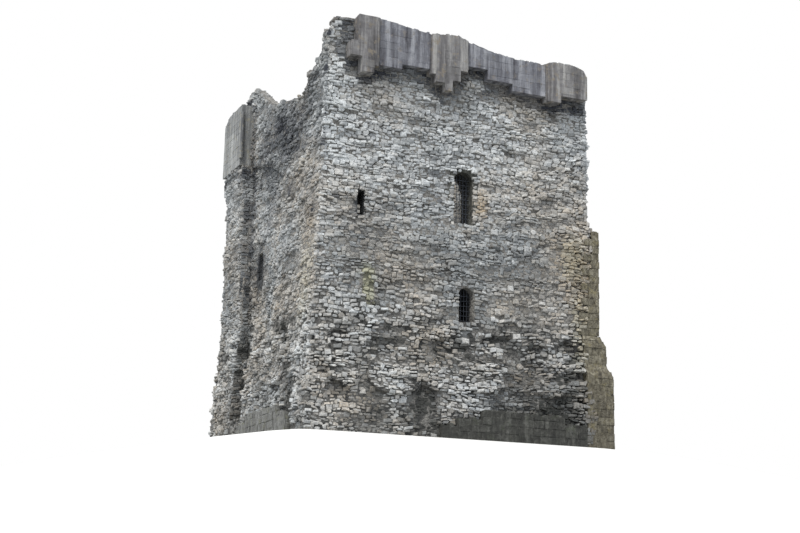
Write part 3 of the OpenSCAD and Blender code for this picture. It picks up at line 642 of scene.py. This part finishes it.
def crevices(side, u, z):
    # clusters of deep hollows where the wall spreads to its foot, from -1 to 1
    strength = sum(amount * math.exp(-(z - level) ** 2) for level, amount in creviceBands)
    chance = 2 * strength * wave(u, z * 1.8, 21, 0.5) if side != "left" or u < 3 else 0.0
    if side not in deepSpots:
        return chance
    return min(1.0, 0.5 * chance + sum(spot(u, z, *place) for place in deepSpots[side]))


# Long low ledges, because flat stones lie in rough courses, and more of them at the foot
ledgeWaves = [(0.05, 1, 3, 2.6), (0.15, 2.6, 4, 0.9)]
footWaves = [(0.12, 1.5, 6, 1.2), (0.12, 2.2, 7, 0.55)]


def outerRelief(side, u, z):
    depth = 0.05 + waves(u, z, ledgeWaves)
    if z < footTop:
        depth += waves(u, z, footWaves) - 0.1 * crevices(side, u, z)
    return depth + sum(amount * spot(u, z, *place) for *place, amount in swellings[side])


# Where the rubble comes level with the corner's facing: from how far along, over what width and
# height, how far above the facing, and how deep behind it
levelled = dict(start=4.4, over=0.5, fade=0.6, above=0.2, sunk=0.09, faceAt=5.9)


def facedSurface(side, u, z, depth):
    # beside the corner's facing the rubble is laid level with it
    hand = cornerHand[side]
    past, below = hand * u - levelled["start"], quoinTop + levelled["above"] - z
    if past < 0 or below < 0:
        return depth
    face = castAt(side, hand * levelled["faceAt"], min(z, quoinTop - 0.1), outerRubble)[0]
    share = clamp(past / levelled["over"]) * clamp(below / levelled["fade"])
    return depth + share * (face - levelled["sunk"] - depth)


# Weather, and painted shade under the band, in dark hollows and at the left wall's slit, re-entrant corner
# and top: place and height, half width and half height, then more light, warmth, and stain with painted shade
weatherAndShade = {
    "front": [
        (-0.5, 11.2, 6.5, 2.2, 0.22, -0.2, -0.12), (0.2, 13.6, 6, 0.35, -0.15, 0, 0.25),
        (0.6, 2.3, 5, 2, 0.03, 0, -0.04), (-5.6, 7, 0.7, 7, 0.18, 0, -0.1), (4.6, 7, 1.2, 2.6, 0, 0.3, 0),
        (5.4, 3.8, 0.6, 3.4, -0.15, 0.4, 0.1), (5.7, 0.7, 0.4, 1.2, -0.3, 0.1, 0.35),
        (0.8, 3.6, 3.2, 0.6, 0.05, 0, 0), (3.6, 1.2, 1.9, 1.1, -0.4, 0.12, 0.6),
        (2.9, 2.5, 0.9, 0.6, -0.15, 0.15, 0.3), (-1.5, 1.15, 0.6, 0.9, -0.5, 0, 0.7),
        (-3.5, 1, 0.45, 0.6, -0.2, 0.15, 0.35), (0.3, 1.8, 0.9, 0.85, 0.4, 0, -0.5),
        (1.4, 2.75, 0.9, 0.4, 0.2, 0, -0.25), (-2.7, 1.9, 0.6, 0.6, 0.25, 0, -0.35),
        (-4.9, 0.8, 0.8, 0.9, 0.2, 0.05, -0.3), (-3.72, 5.5, 0.3, 0.8, 0.3, -0.2, -0.5),
        (-4.3, 5.5, 0.4, 0.9, -0.12, 0, 0.12), (-3.1, 5.4, 0.4, 0.9, -0.12, 0, 0.12),
        (-5, 4.1, 0.7, 0.7, 0.35, 0, -0.35), (-2.75, 1.2, 0.45, 0.7, 0.35, 0, -0.45),
        (5, 9, 0.9, 1.2, 0.16, -0.05, -0.15), (-3.68, 4.86, 0.35, 0.14, -0.5, 0, 1),
        (-4.9, 10, 0.7, 5, 0.1, 0.08, -0.05), (0.95, 9.2, 0.25, 0.6, 0.1, 0.85, -0.1),
        (-3, 2, 1.6, 1.2, 0.1, 0, -0.05),
    ],
    "left": [
        (0, 5.5, 6, 3.5, 0.08, 0.04, -0.06), (5.2, 6, 0.9, 5, 0.12, 0, -0.1),
        (3.2, 12.2, 3.4, 1.8, -0.2, -0.25, 0.42), (0.2, 12.6, 3, 2, -0.2, -0.2, 0.42),
        (4.4, 11.5, 0.5, 1, 0.35, 0, -0.3), (-3.2, 9.5, 0.4, 3, -0.2, -0.1, 0.35),
        (-2.8, 5, 0.35, 2, -0.2, -0.1, 0.3), (-3.2, 2.2, 0.45, 1.6, -0.2, -0.1, 0.35),
        (-2.05, 7.3, 0.5, 0.9, -1.2, 0, 1.6), (1.5, 9.8, 0.3, 0.45, -0.3, 0, 0.7),
        (0.9, 4.7, 0.3, 0.5, -0.3, 0, 0.6), (2.5, 1.7, 0.6, 0.9, 0.2, 0, -0.25),
        (-2.4, 2.4, 0.8, 1.8, -0.1, 0, 0.2), (4.6, 6, 0.9, 2.5, 0.12, 0.2, -0.05),
        (1.6, 3.6, 1.6, 0.4, 0.12, 0, -0.1), (3.7, 10.6, 0.3, 0.35, 0.4, 0, -0.4),
    ],
    "right": [
        (-4.6, 7, 1.4, 2.6, 0, 0.3, 0), (-5.3, 4, 0.6, 3.5, -0.05, 0.35, 0.05),
        (0.2, 13.6, 6, 0.35, -0.15, 0, 0.25),
    ],
    "back": [(0.2, 13.6, 6, 0.35, -0.15, 0, 0.25), (0, 6.2, 0.6, 0.7, -0.1, 0, 0.3)],
}

# Lichen, where water runs down: place and height, half width and half height, amount
lichens = {
    "front": [
        (-3.7, 5.45, 0.22, 0.62, 1), (-3.85, 5.9, 0.22, 0.4, 0.6), (5.2, 4.6, 0.4, 1.6, 0.3),
        (4.9, 7.4, 0.5, 0.9, 0.3),
    ],
    "left": [(4.9, 5.6, 0.6, 1.5, 0.25)],
    "right": [(-5.2, 4.6, 0.4, 1.6, 0.35)],
    "back": [],
}


def hollowAt(side, u, z):
    # how far a place lies behind what is around it, in metres
    here = castAt(side, u, z, outerRubble)[0]
    if not here:
        return 0.0
    around = []
    for a, b in ((-0.5, 0), (0.5, 0), (0, -0.4), (0, 0.5)):
        there = castAt(side, u + a, z + b, outerRubble)[0]
        if there and there > outerRubble["nearest"]:
            around.append(facedSurface(side, u + a, z + b, there))
    return sum(around) / len(around) - facedSurface(side, u, z, here) if around else 0.0

toneWaves = dict(light=[(0.35, 1, 11, 3.5), (0.3, 2, 14, 0.5)], warm=[(0.45, 1, 12, 2.2)],
                 stain=[(0.4, 1, 13, 1.8), (0.4, 2.2, 15, 0.45)])
# Middle tones of the stones, soil at the foot, the painted shade that the crevices add as stain and take from
# the light, and how much painted shade a hollow or a sunken stone gets for each metre, up to its most, or
# painted light a proud one
outerTones = dict(light=0.63, warm=0.14, stain=0.03, soil=0.22, soilTop=1.3, creviceStain=0.9,
                  creviceShade=0.3, hollow=3.0, sunken=2.0, mostStain=0.45, mostShade=0.35, mostLight=0.3)


def outerTone(side, u, z, rng):
    look, crevice = outerTones, crevices(side, u, z)
    light = look["light"] + waves(u, z, toneWaves["light"]) + rng.gauss(0, 0.09)
    warm = look["warm"] + waves(u, z, toneWaves["warm"]) + rng.uniform(-0.12, 0.28)
    stain = look["stain"] + waves(u, z, toneWaves["stain"]) + rng.uniform(-0.12, 0.16)
    # soil darkens the foot, and the crevices get painted shade
    stain += look["soil"] * max(0.0, 1 - z / look["soilTop"]) + look["creviceStain"] * max(0.0, crevice)
    light -= look["creviceShade"] * crevice
    # painted shade, with some damp, darkens the hollows, and what stands out is painted lighter
    sunken = look["hollow"] * hollowAt(side, u, z) + look["sunken"] * (0.05 - outerRelief(side, u, z))
    stain += max(0.0, min(look["mostStain"], sunken))
    light -= 0.5 * max(-look["mostLight"], min(look["mostShade"], sunken))
    for *place, addLight, addWarm, addStainAndShade in weatherAndShade[side]:
        share = spot(u, z, *place)
        light, warm, stain = light + share * addLight, warm + share * addWarm, stain + share * addStainAndShade
    grown = sum(amount * spot(u, z, *place, power=4) for *place, amount in lichens[side])
    return clamp(light), clamp(warm), clamp(stain), clamp(grown)


def underBandShadeTone(side, u, z, rng):
    # under the broken edge of the facing the stones are painted darker: painted shade, with some damp
    light, warm, stain, grown = outerTone(side, u, z, rng)
    above = [castAt(side, u, z + rise, outerRubble)[1] for rise in (0.2, 0.45)]
    share = sum(owner in bandNodes + pilasterNodes for owner in above) / len(above)
    return clamp(light - 0.1 * share), warm, clamp(stain + 0.3 * share), grown


def layStones(side, plan, seed):
    cells = layCourses(side, plan, random.Random(seed))
    return cellsToParts(side, cells, plan) if cells else []


# on the front, rubble also covers the surround of the tall window
windowFrame = ["front_window_jambs", "front_window_arch"]
outerWork = dict(outerRubble, nodes=rubbleNodes + windowFrame + cornerFacing, surface=facedSurface,
                 relief=outerRelief, toneOf=underBandShadeTone,
                 within=lambda side, u, z, owner: owner not in cornerFacing or abs(u) < facingEdge(z))
for number, side in enumerate(sides):
    for storey, bottom, top in (("Lower", 0.0, ledgeTop), ("Upper", ledgeTop, skyline)):
        plan = dict(outerWork, bottom=bottom, top=top, **(foot if storey == "Lower" else {}))
        makePiece(side + storey + "Rubble", layStones(side, plan, 100 + number))

# Rubble on the sides of the hollow in the left wall and on the ends of the thicker corner

def revealShadeTone(side, u, z, rng):
    # the far side of the hollow is painted dark from top to bottom, as painted shade, and the other reveals a
    # little darker
    light, warm, stain, grown = outerTone("left", -4.4, z, rng)
    dark = clamp(0.24 + 0.5 * wave(z, 0.0, 17, 1.2)) if side == "front" else 0.1
    return clamp(light - dark), clamp(warm - 0.1), clamp(stain + dark), 0.0


reveals = dict(outerRubble, nearest=-6.0, farthest=4.9, shortest=0.1, longest=0.3, arris=0.0, limit=9.0,
               jumpers=0.0, missing=0.0, uneven=0.02, step=0.3, gaps={}, bottom=1.3, top=12.2,
               relief=lambda side, u, z: 0.05, toneOf=revealShadeTone)
revealPlans = [
    ("front", dict(reveals, start=-2.4, uFrom=-6.1, uTo=-5.42)),
    ("back", dict(reveals, start=2.4, uFrom=5.42, uTo=6.1)),
    ("right", dict(reveals, start=-2.4, uFrom=5.7, uTo=6.1, bottom=5.6)),
]
parts = []
for number, (side, plan) in enumerate(revealPlans):
    parts += layStones(side, plan, 150 + number)
makePiece("hollowSideStones", parts)

# Rubble inside: the rooms and the inner faces of the broken parapet

def innerShadeTone(side, u, z, rng):
    light, warm, stain, grown = outerTone("back", u, z + 0.6, rng)
    # the inside is painted darker, as painted shade, most in the lower room and low in the upper one
    damp = 0.5 if z < ledgeTop else 0.35 * max(0.0, 1 - (z - floorTop) / 6)
    return max(0.0, light - 0.15), warm, min(1.0, stain + damp), 0.0


innerRubble = dict(outerRubble, facing=-1, start=0.0, nearest=3.3, farthest=5.5, step=0.12, arris=0.0,
                   uneven=0.02, lowest=0.14, highest=0.24, shortest=0.22, longest=0.5, missing=0.0,
                   jumpers=0.0, gaps={}, shapes=plainShapes, toneOf=innerShadeTone,
                   relief=lambda side, u, z: 0.03 + 0.02 * wave(u, z, 5, 1.6))
brokenTop = dict(lowest=0.08, highest=0.15, shortest=0.16, longest=0.4, sample=0.06)
storeys = [(0.2, ledgeTop), (floorTop + 0.02, walkTop), (walkTop, skyline)]
parts = []
for number, side in enumerate(sides):
    for bottom, top in storeys:
        plan = dict(innerRubble, bottom=bottom, top=top)
        level = bottom + 0.3 if bottom == walkTop else (bottom + top) / 2
        reach = castAt(side, 1.6, level, plan)[0] - 0.02  # the room's half width at this height
        plan.update(uFrom=-reach, uTo=reach)
        if bottom == walkTop:  # small stones follow the broken top closely
            plan.update(brokenTop)
        parts += layStones(side, plan, 200 + number)
makePiece("innerRubble", parts)

# Stones lying on the broken tops, the wall-walk and the ledges of the hollow

topStones = dict(spacing=0.25, reach=6.3, wide=(0.18, 0.36), deep=(0.15, 0.27), turn=(-0.6, 0.6),
                 proud=(0.02, 0.1), bed=0.06, slope=0.17, under=(0.003, 0.03))


def lift(ground, shape, proud, plan, rng):
    # from the bed up to the stone's top; no two tops end in one plane under the skyline
    rise = ground - plan["bed"] + shape[:, 1] * (plan["bed"] + proud)
    return np.minimum(rise, skyline - rng.uniform(*plan["under"]))


def dropAt(x, y):
    # the height of a broken top or a ledge that a stone can lie on, seen from the sky
    hit, normal, index, distance = keepTree.ray_cast(Vector((x, y, sky)), -up)
    if not hit or normal.z < 0.35:  # nothing there, or too steep
        return None
    owner = keepOwners[index]
    onTop = hit.z > walkTop - 0.2 and owner in rubbleNodes + bandNodes + pilasterNodes
    onLedge = hit.z > 0.5 and owner in rubbleNodes and max(abs(x), abs(y)) > coreFace - 0.2
    return hit.z if onTop or onLedge else None


def layTops(plan, seed):
    rng = random.Random(seed)
    parts = []
    count = int(2 * plan["reach"] / plan["spacing"])
    for i in range(count * count):
        x, y = (-plan["reach"] + (step + 0.5 + rng.uniform(-0.25, 0.25)) * plan["spacing"]
                for step in (i // count, i % count))
        wide, deep, turn, proud = (rng.uniform(*plan[key]) for key in ("wide", "deep", "turn", "proud"))
        shape, faces = stoneShapes[rng.randrange(len(stoneShapes))]
        light, warm, stain, grown = outerTone("back", x, y + 7, rng)
        height = dropAt(x, y)
        if height is None:
            continue
        cos, sin = math.cos(turn), math.sin(turn)
        turned = lambda a, b: (x + cos * a * wide - sin * b * deep, y + sin * a * wide + cos * b * deep)
        corners = [turned(a, b) for a, b in ((-0.5, -0.5), (0.5, -0.5), (0.5, 0.5), (-0.5, 0.5))]
        levels = [dropAt(*corner) for corner in corners]
        if any(level is None or abs(level - height) > plan["slope"] for level in levels):
            continue
        a, b = shape[:, 0] + 0.5, shape[:, 2] + 0.5
        ground = ((1 - a) * (1 - b) * levels[0] + a * (1 - b) * levels[1]
                  + a * b * levels[2] + (1 - a) * b * levels[3])
        px, py = turned(shape[:, 0], shape[:, 2])
        pz = lift(ground, shape, proud, plan, rng)
        tones = np.tile((light, warm, clamp(stain + 0.1), 0.0), (len(shape), 1))
        parts.append((np.stack([px, py, pz], axis=1), faces, tones))
    return parts


makePiece("wallTopStones", layTops(topStones, 300))

# Squared stone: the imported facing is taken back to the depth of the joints, and blocks fill it up again

def takeBack(names, name, material, amount):
    copies = [bpy.data.objects.new(node + "Copy", nodes[node].data.copy()) for node in names]
    bpy.ops.object.select_all(action="DESELECT")
    for copy in copies:
        scene.collection.objects.link(copy)
        copy.select_set(True)
    bpy.context.view_layer.objects.active = copies[0]
    bpy.ops.object.join()
    bed = bpy.context.object
    bed.name = name
    editMode(bed)
    bpy.ops.mesh.select_all(action="SELECT")
    bpy.ops.mesh.remove_doubles(threshold=0.0001)
    bpy.ops.object.mode_set(mode="OBJECT")
    inward = bed.modifiers.new("inward", "DISPLACE")
    inward.mid_level = 0.0
    inward.strength = -amount
    bpy.ops.object.modifier_apply(modifier="inward")
    dress(bed, material)
    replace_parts(bed, *names)


squared = dict(outerRubble, lowest=0.3, highest=0.3001, shortest=0.36, longest=0.85, uFrom=-6.6, uTo=6.6,
               step=0.14, joint=(0.008, 0.014), arris=0.0, wobble=0.0, jitter=0.0, skew=0.0,
               uneven=0.006, least=-0.06, bed=0.04, tilt=0.02, missing=0.0, jumpers=0.0, gaps={},
               sample=0.03, rim=0.45, shapes=blockShapes,
               within=lambda side, u, z, owner: owner not in cornerFacing or abs(u) >= facingEdge(z))
worn = dict(squared, joint=(0.006, 0.022), uneven=0.016, tilt=0.05, shortest=0.26, longest=0.65,
            missing=0.02, rim=0.18, shapes=wornShapes)
# Broken stones lying along the upper edge of the facing
edgeStones = dict(reach=6.45, wide=(0.12, 0.36), deep=(0.16, 0.3), proud=(0.02, 0.09), bed=0.06,
                  missing=0.12, drop=0.16, back=0.03, under=(0.004, 0.03))


def edgeAt(side, u, names):
    # the outermost place where a wanted node lies open to the sky, in steps of 30 mm over about 1 m
    for step in range(36):
        outward = cadBox[1][0] - 0.01 - step * 0.03
        hit, normal, index, distance = keepTree.ray_cast(placeOn(side, u, outward, sky), -up)
        if hit and keepOwners[index] in names:
            return outward, hit.z
    return None


def layEdges(side, names, plan, toneOf, rng):
    parts, u = [], -plan["reach"]
    while u < plan["reach"]:
        wide, deep, proud = (rng.uniform(*plan[key]) for key in ("wide", "deep", "proud"))
        shape, faces = stoneShapes[rng.randrange(len(stoneShapes))]
        tone = toneOf(side, u, 0.0, rng)
        gone, back = rng.random() < plan["missing"], rng.uniform(0, plan["back"])
        ends = [edgeAt(side, u + wide * share, names) for share in (0.06, 0.94)]
        u += wide
        if gone or None in ends or any(abs(ends[0][i] - ends[1][i]) > plan["drop"] for i in (0, 1)):
            continue
        along = shape[:, 0] + 0.5
        outward = min(e[0] for e in ends) - back - (0.5 - shape[:, 2]) * deep
        ground = ends[0][1] + along * (ends[1][1] - ends[0][1])
        points = pointsOn(side, u - wide + along * wide, outward, lift(ground, shape, proud, plan, rng))
        parts.append((points, faces, np.tile(tone, (len(points), 1))))
    return parts


def laySquared(name, look, seed):
    def toneOf(side, u, z, rng):
        return clamp(rng.gauss(look["light"], 0.13)), 0.0, clamp(rng.gauss(look["stain"], 0.1)), 0.0

    names, stone, slot = look["nodes"], squaredStones[look["stone"]], look["slot"]
    takeBack(names, name + "Bed", stone, look["joints"])
    plan = dict(look["plan"], nodes=names, bottom=look["bottom"], top=look["top"], toneOf=toneOf,
                relief=lambda side, u, z: -look["joints"] * 0.4)
    parts = []
    for number, side in enumerate(sides):
        parts += layStones(side, plan, seed + number)
        if look["edged"]:
            parts += layEdges(side, names, edgeStones, toneOf, random.Random(seed + 5 + number))
    makePiece(name + "Blocks", parts, stone)


farPilaster = ["far_corner_pilaster"]
highWork = dict(bottom=walkTop - 0.3, top=skyline, slot="ashlar_stone", plan=squared, joints=0.014,
                edged=True)
lowWork = dict(bottom=0.0, slot="ashlar_stone", plan=worn, joints=0.04, edged=True)
squaredWork = {
    "band": dict(highWork, nodes=bandNodes, light=0.1, stain=0.12, stone="streakedGritstone"),
    "pilaster": dict(highWork, nodes=[n for n in pilasterNodes if n not in farPilaster], light=0.15,
                     stain=0.1, stone="buffStreakedGritstone"),
    "farPilaster": dict(highWork, nodes=farPilaster, light=0.25, stain=0.05, stone="paleGritstone",
                        plan=dict(squared, joint=(0.004, 0.008), rim=0.15)),
    "quoin": dict(lowWork, nodes=["corner_quoins"], light=0.15, stain=0.08, stone="buffGritstone",
                  slot="quoin_stone", bottom=plinthTop, top=quoinTop),
    "cornerPlinth": dict(lowWork, nodes=["corner_plinth"], light=0.12, stain=0.12, stone="buffGritstone",
                         slot="quoin_stone", top=plinthTop, edged=False),
    "plinth": dict(lowWork, nodes=[n for n in plinthNodes if n != "left_plinth"], light=0.05, stain=0.25,
                   stone="darkPlinthStone", top=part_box("front_plinth")[1].z),
    "leftPlinth": dict(lowWork, nodes=["left_plinth"], light=0.2, stain=0.05, stone="palePlinthStone",
                       top=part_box("left_plinth")[1].z),
}
for number, (name, look) in enumerate(squaredWork.items()):
    laySquared(name, look, 400 + 10 * number)

# Floorboards of the upper room, laid across the joists

boards = dict(width=0.205, gap=0.006, shortest=1.8, longest=3.6)


def layBoards(plan, seed):
    rng = random.Random(seed)
    low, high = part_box("floor_boards")
    parts, gap = [], plan["gap"]
    rows = round((high.y - low.y) / plan["width"])
    width = (high.y - low.y) / rows
    for row in range(rows):
        x = low.x
        while x < high.x - 0.01:
            x1 = x + rng.uniform(plan["shortest"], plan["longest"])
            x1 = high.x if high.x - x1 < plan["shortest"] * 0.6 else x1
            shape, faces = blockShapes[rng.randrange(len(blockShapes))]
            along, across = (np.clip(shape[:, axis] + 0.5, 0, 1) for axis in (0, 2))
            px = x + gap / 2 + along * (x1 - x - gap)
            py = low.y + row * width + gap / 2 + across * (width - gap)
            pz = low.z + shape[:, 1] * (high.z - low.z - rng.uniform(0, 0.006))
            tones = np.tile((rng.random(), 0.0, 0.0, 1.0), (len(shape), 1))
            parts.append((np.stack([px, py, pz], axis=1), faces, tones))
            x = x1
    return parts


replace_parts(makePiece("oakPlanks", layBoards(boards, 500), oakAlongX), "floor_boards")

# Iron grilles in the windows

# The bars' radius, how far apart they stand and lie, their seat in the stone, and how far the level
# bars lap over the upright ones
grille = dict(bar=0.011, across=0.13, upward=0.19, seat=0.03, lap=0.018)


def modelBar():
    bpy.ops.object.select_all(action="DESELECT")
    bpy.ops.mesh.primitive_cylinder_add(vertices=8, radius=1.0, depth=1.0)
    bar = bpy.context.object
    editMode(bar)
    selectFaces(bar, lambda face: abs(face.normal.z) > 0.9)
    bpy.ops.mesh.inset(thickness=0.25)
    return takeShape(bar)


barShape, barFaces = modelBar()


def makeGrille(name, side, middle, sill, width, rise, depth, plan):
    parts, radius, top = [], width / 2, sill + rise

    def addBar(start, end):
        run = (end - start).normalized()
        first = run.orthogonal().normalized()
        second = run.cross(first)
        frameOfBar = np.array([first * plan["bar"], second * plan["bar"], end - start])
        points = barShape @ frameOfBar + np.array((start + end) / 2)
        parts.append((points, barFaces, np.ones((len(points), 4))))

    uprights = max(2, round(width / plan["across"]) - 1)
    for i in range(uprights):
        offset = (i + 1) * width / (uprights + 1) - radius
        reach = top + math.sqrt(max(0.0, radius ** 2 - offset ** 2)) + plan["seat"]
        addBar(*(placeOn(side, middle + offset, depth, z) for z in (sill - plan["seat"], reach)))
    rows = int((rise + radius * 0.8) / plan["upward"])
    for i in range(rows):
        z = sill + (i + 0.6) * plan["upward"]
        half = radius if z < top else math.sqrt(max(0.0, radius ** 2 - (z - top) ** 2))
        ends = (middle - half - plan["seat"], middle + half + plan["seat"])
        addBar(*(placeOn(side, u, depth + plan["lap"], z) for u in ends))
    makePiece(name, parts, iron)


tallSill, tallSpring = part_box("front_window_jambs")[0].z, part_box("front_window_jambs")[1].z
# Name, side, place along it, sill, width, height to the springing, and depth
windows = [
    ("frontTallGrille", "front", 0.17, tallSill, 0.82, tallSpring - tallSill, coreFace - 0.28),
    ("rightTallGrille", "right", 0.3, tallSill, 0.82, tallSpring - tallSill, coreFace - 0.28),
    ("frontLowGrille", "front", 0.25, ledgeTop - 1.95, 0.62, 1.04, coreFace - 0.1),
    ("rightLowGrille", "right", 0.3, ledgeTop - 1.95, 0.62, 1.04, coreFace - 0.1),
    ("backLowGrille", "back", 0.3, ledgeTop - 1.95, 0.62, 1.04, coreFace - 0.1),
]
for window in windows:
    makeGrille(*window, grille)

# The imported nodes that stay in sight
nodePaint = [
    (rubbleNodes, mortarBed),
    ([n for n in surroundNodes if n not in windowFrame], squaredStones["buffGritstone"]),
    # the tall window's reveal takes the dark plinth stone, as painted shade
    (windowFrame, squaredStones["darkPlinthStone"]),
    (["ground_floor"], squaredStones["wornFlagstone"]),
    (["floor_beams"], oakAlongX),
    (["floor_joists", "floor_boards"], oakAlongY),
]
for names, material in nodePaint:
    for name in names:
        paint(nodes[name], material)


# Camera, light and ground

cameraPlan = {
    "standpoint": Vector((-22.06, -51.72, -4.99)),  # the photograph's: 56 m off and below the keep
    "target": Vector((0.0, 0.0, 7.75)),
    "lens": 62.0,
    "roll": math.radians(1.3),
}


def setCamera(plan):
    bpy.ops.object.camera_add(location=plan["standpoint"])
    camera = bpy.context.object
    camera.rotation_euler = (plan["target"] - plan["standpoint"]).to_track_quat("-Z", "Y").to_euler()
    camera.rotation_euler.rotate_axis("Z", plan["roll"])
    camera.data.lens = plan["lens"]
    camera.data.clip_end = 2000
    scene.camera = camera


lightPlan = dict(sky=0.9, sun=3.0, sunSpread=math.radians(28), sunFrom=Vector((-0.62, -0.5, 1.25)))


def setLight(plan):
    world = bpy.data.worlds.new("overcastSky")
    world.use_nodes = True
    world.node_tree.nodes.clear()
    add = partial(addNode, world.node_tree)
    rays = add("LightPath", output=None)
    seen = add("Math", rays["Is Camera Ray"], rays["Is Glossy Ray"], operation="MAXIMUM")
    seen = add("Math", seen, rays["Is Transmission Ray"], operation="MAXIMUM")
    glow = add("Background", linear("#e9f0fb"), plan["sky"])
    white = add("Background", (1, 1, 1, 1), 1.0)
    add("OutputWorld", add("MixShader", seen, glow, white), output=None)
    scene.world = world
    bpy.ops.object.light_add(type="SUN", location=plan["sunFrom"] * 40)
    sun = bpy.context.object
    sun.rotation_euler = (-plan["sunFrom"]).to_track_quat("-Z", "Y").to_euler()
    sun.data.energy = plan["sun"]
    sun.data.angle = plan["sunSpread"]
    sun.data.color = linear("#fffcf7")[:3]


# The ground falls away from the keep's foot, because the camera stands below it.
# Each ring: half width, height, and how square it is
moundRings = [(6.62, -0.002, 24), (7.7, -0.15, 10), (10.0, -0.52, 5), (16.0, -1.7, 3), (30.0, -4.7, 2),
              (60.0, -11.0, 2), (120.0, -24.0, 2), (400.0, -85.0, 2)]


def makeMound(rings):
    bpy.ops.object.select_all(action="DESELECT")
    bpy.ops.mesh.primitive_circle_add(vertices=96, radius=rings[0][0], fill_type="NGON")
    mound = bpy.context.object
    mound.name = "paleGround"
    editMode(mound)
    bpy.ops.mesh.select_mode(type="EDGE")
    bpy.ops.mesh.select_all(action="SELECT")
    bpy.ops.mesh.region_to_loop()
    for ring, following in zip(rings, rings[1:]):
        bpy.ops.mesh.extrude_region_move(TRANSFORM_OT_translate={"value": (0, 0, following[1] - ring[1])})
    bpy.ops.object.mode_set(mode="OBJECT")
    for number, vertex in enumerate(mound.data.vertices):
        half, level, square = rings[number // 96]
        angle = math.atan2(vertex.co.y, vertex.co.x)
        cos, sin = math.cos(angle), math.sin(angle)
        length = half / (abs(cos) ** square + abs(sin) ** square) ** (1 / square)
        vertex.co = (length * cos, length * sin, level)
    bpy.ops.object.shade_smooth()
    material, add, place = newMaterial("palePaintedFloor")
    blotches = add("TexNoise", Vector=place, Scale=1 / 6.0, Detail=3, Roughness=0.55)
    pale = layColours(add, linear("#e6e5e2"), [(blotches, "#eae9e6")])
    # the floor returns less light to the walls than it shows
    seen = add("LightPath", output="Is Camera Ray")
    colour = layColours(add, linear("#9a9a96"), [(seen, pale)])
    add("OutputMaterial", add("BsdfPrincipled", colour, Roughness=0.95), output=None)
    mound.data.materials.append(material)


setCamera(cameraPlan)
setLight(lightPlan)
makeMound(moundRings)
scene.view_settings.view_transform = "Standard"
print("camera, light and ground set")
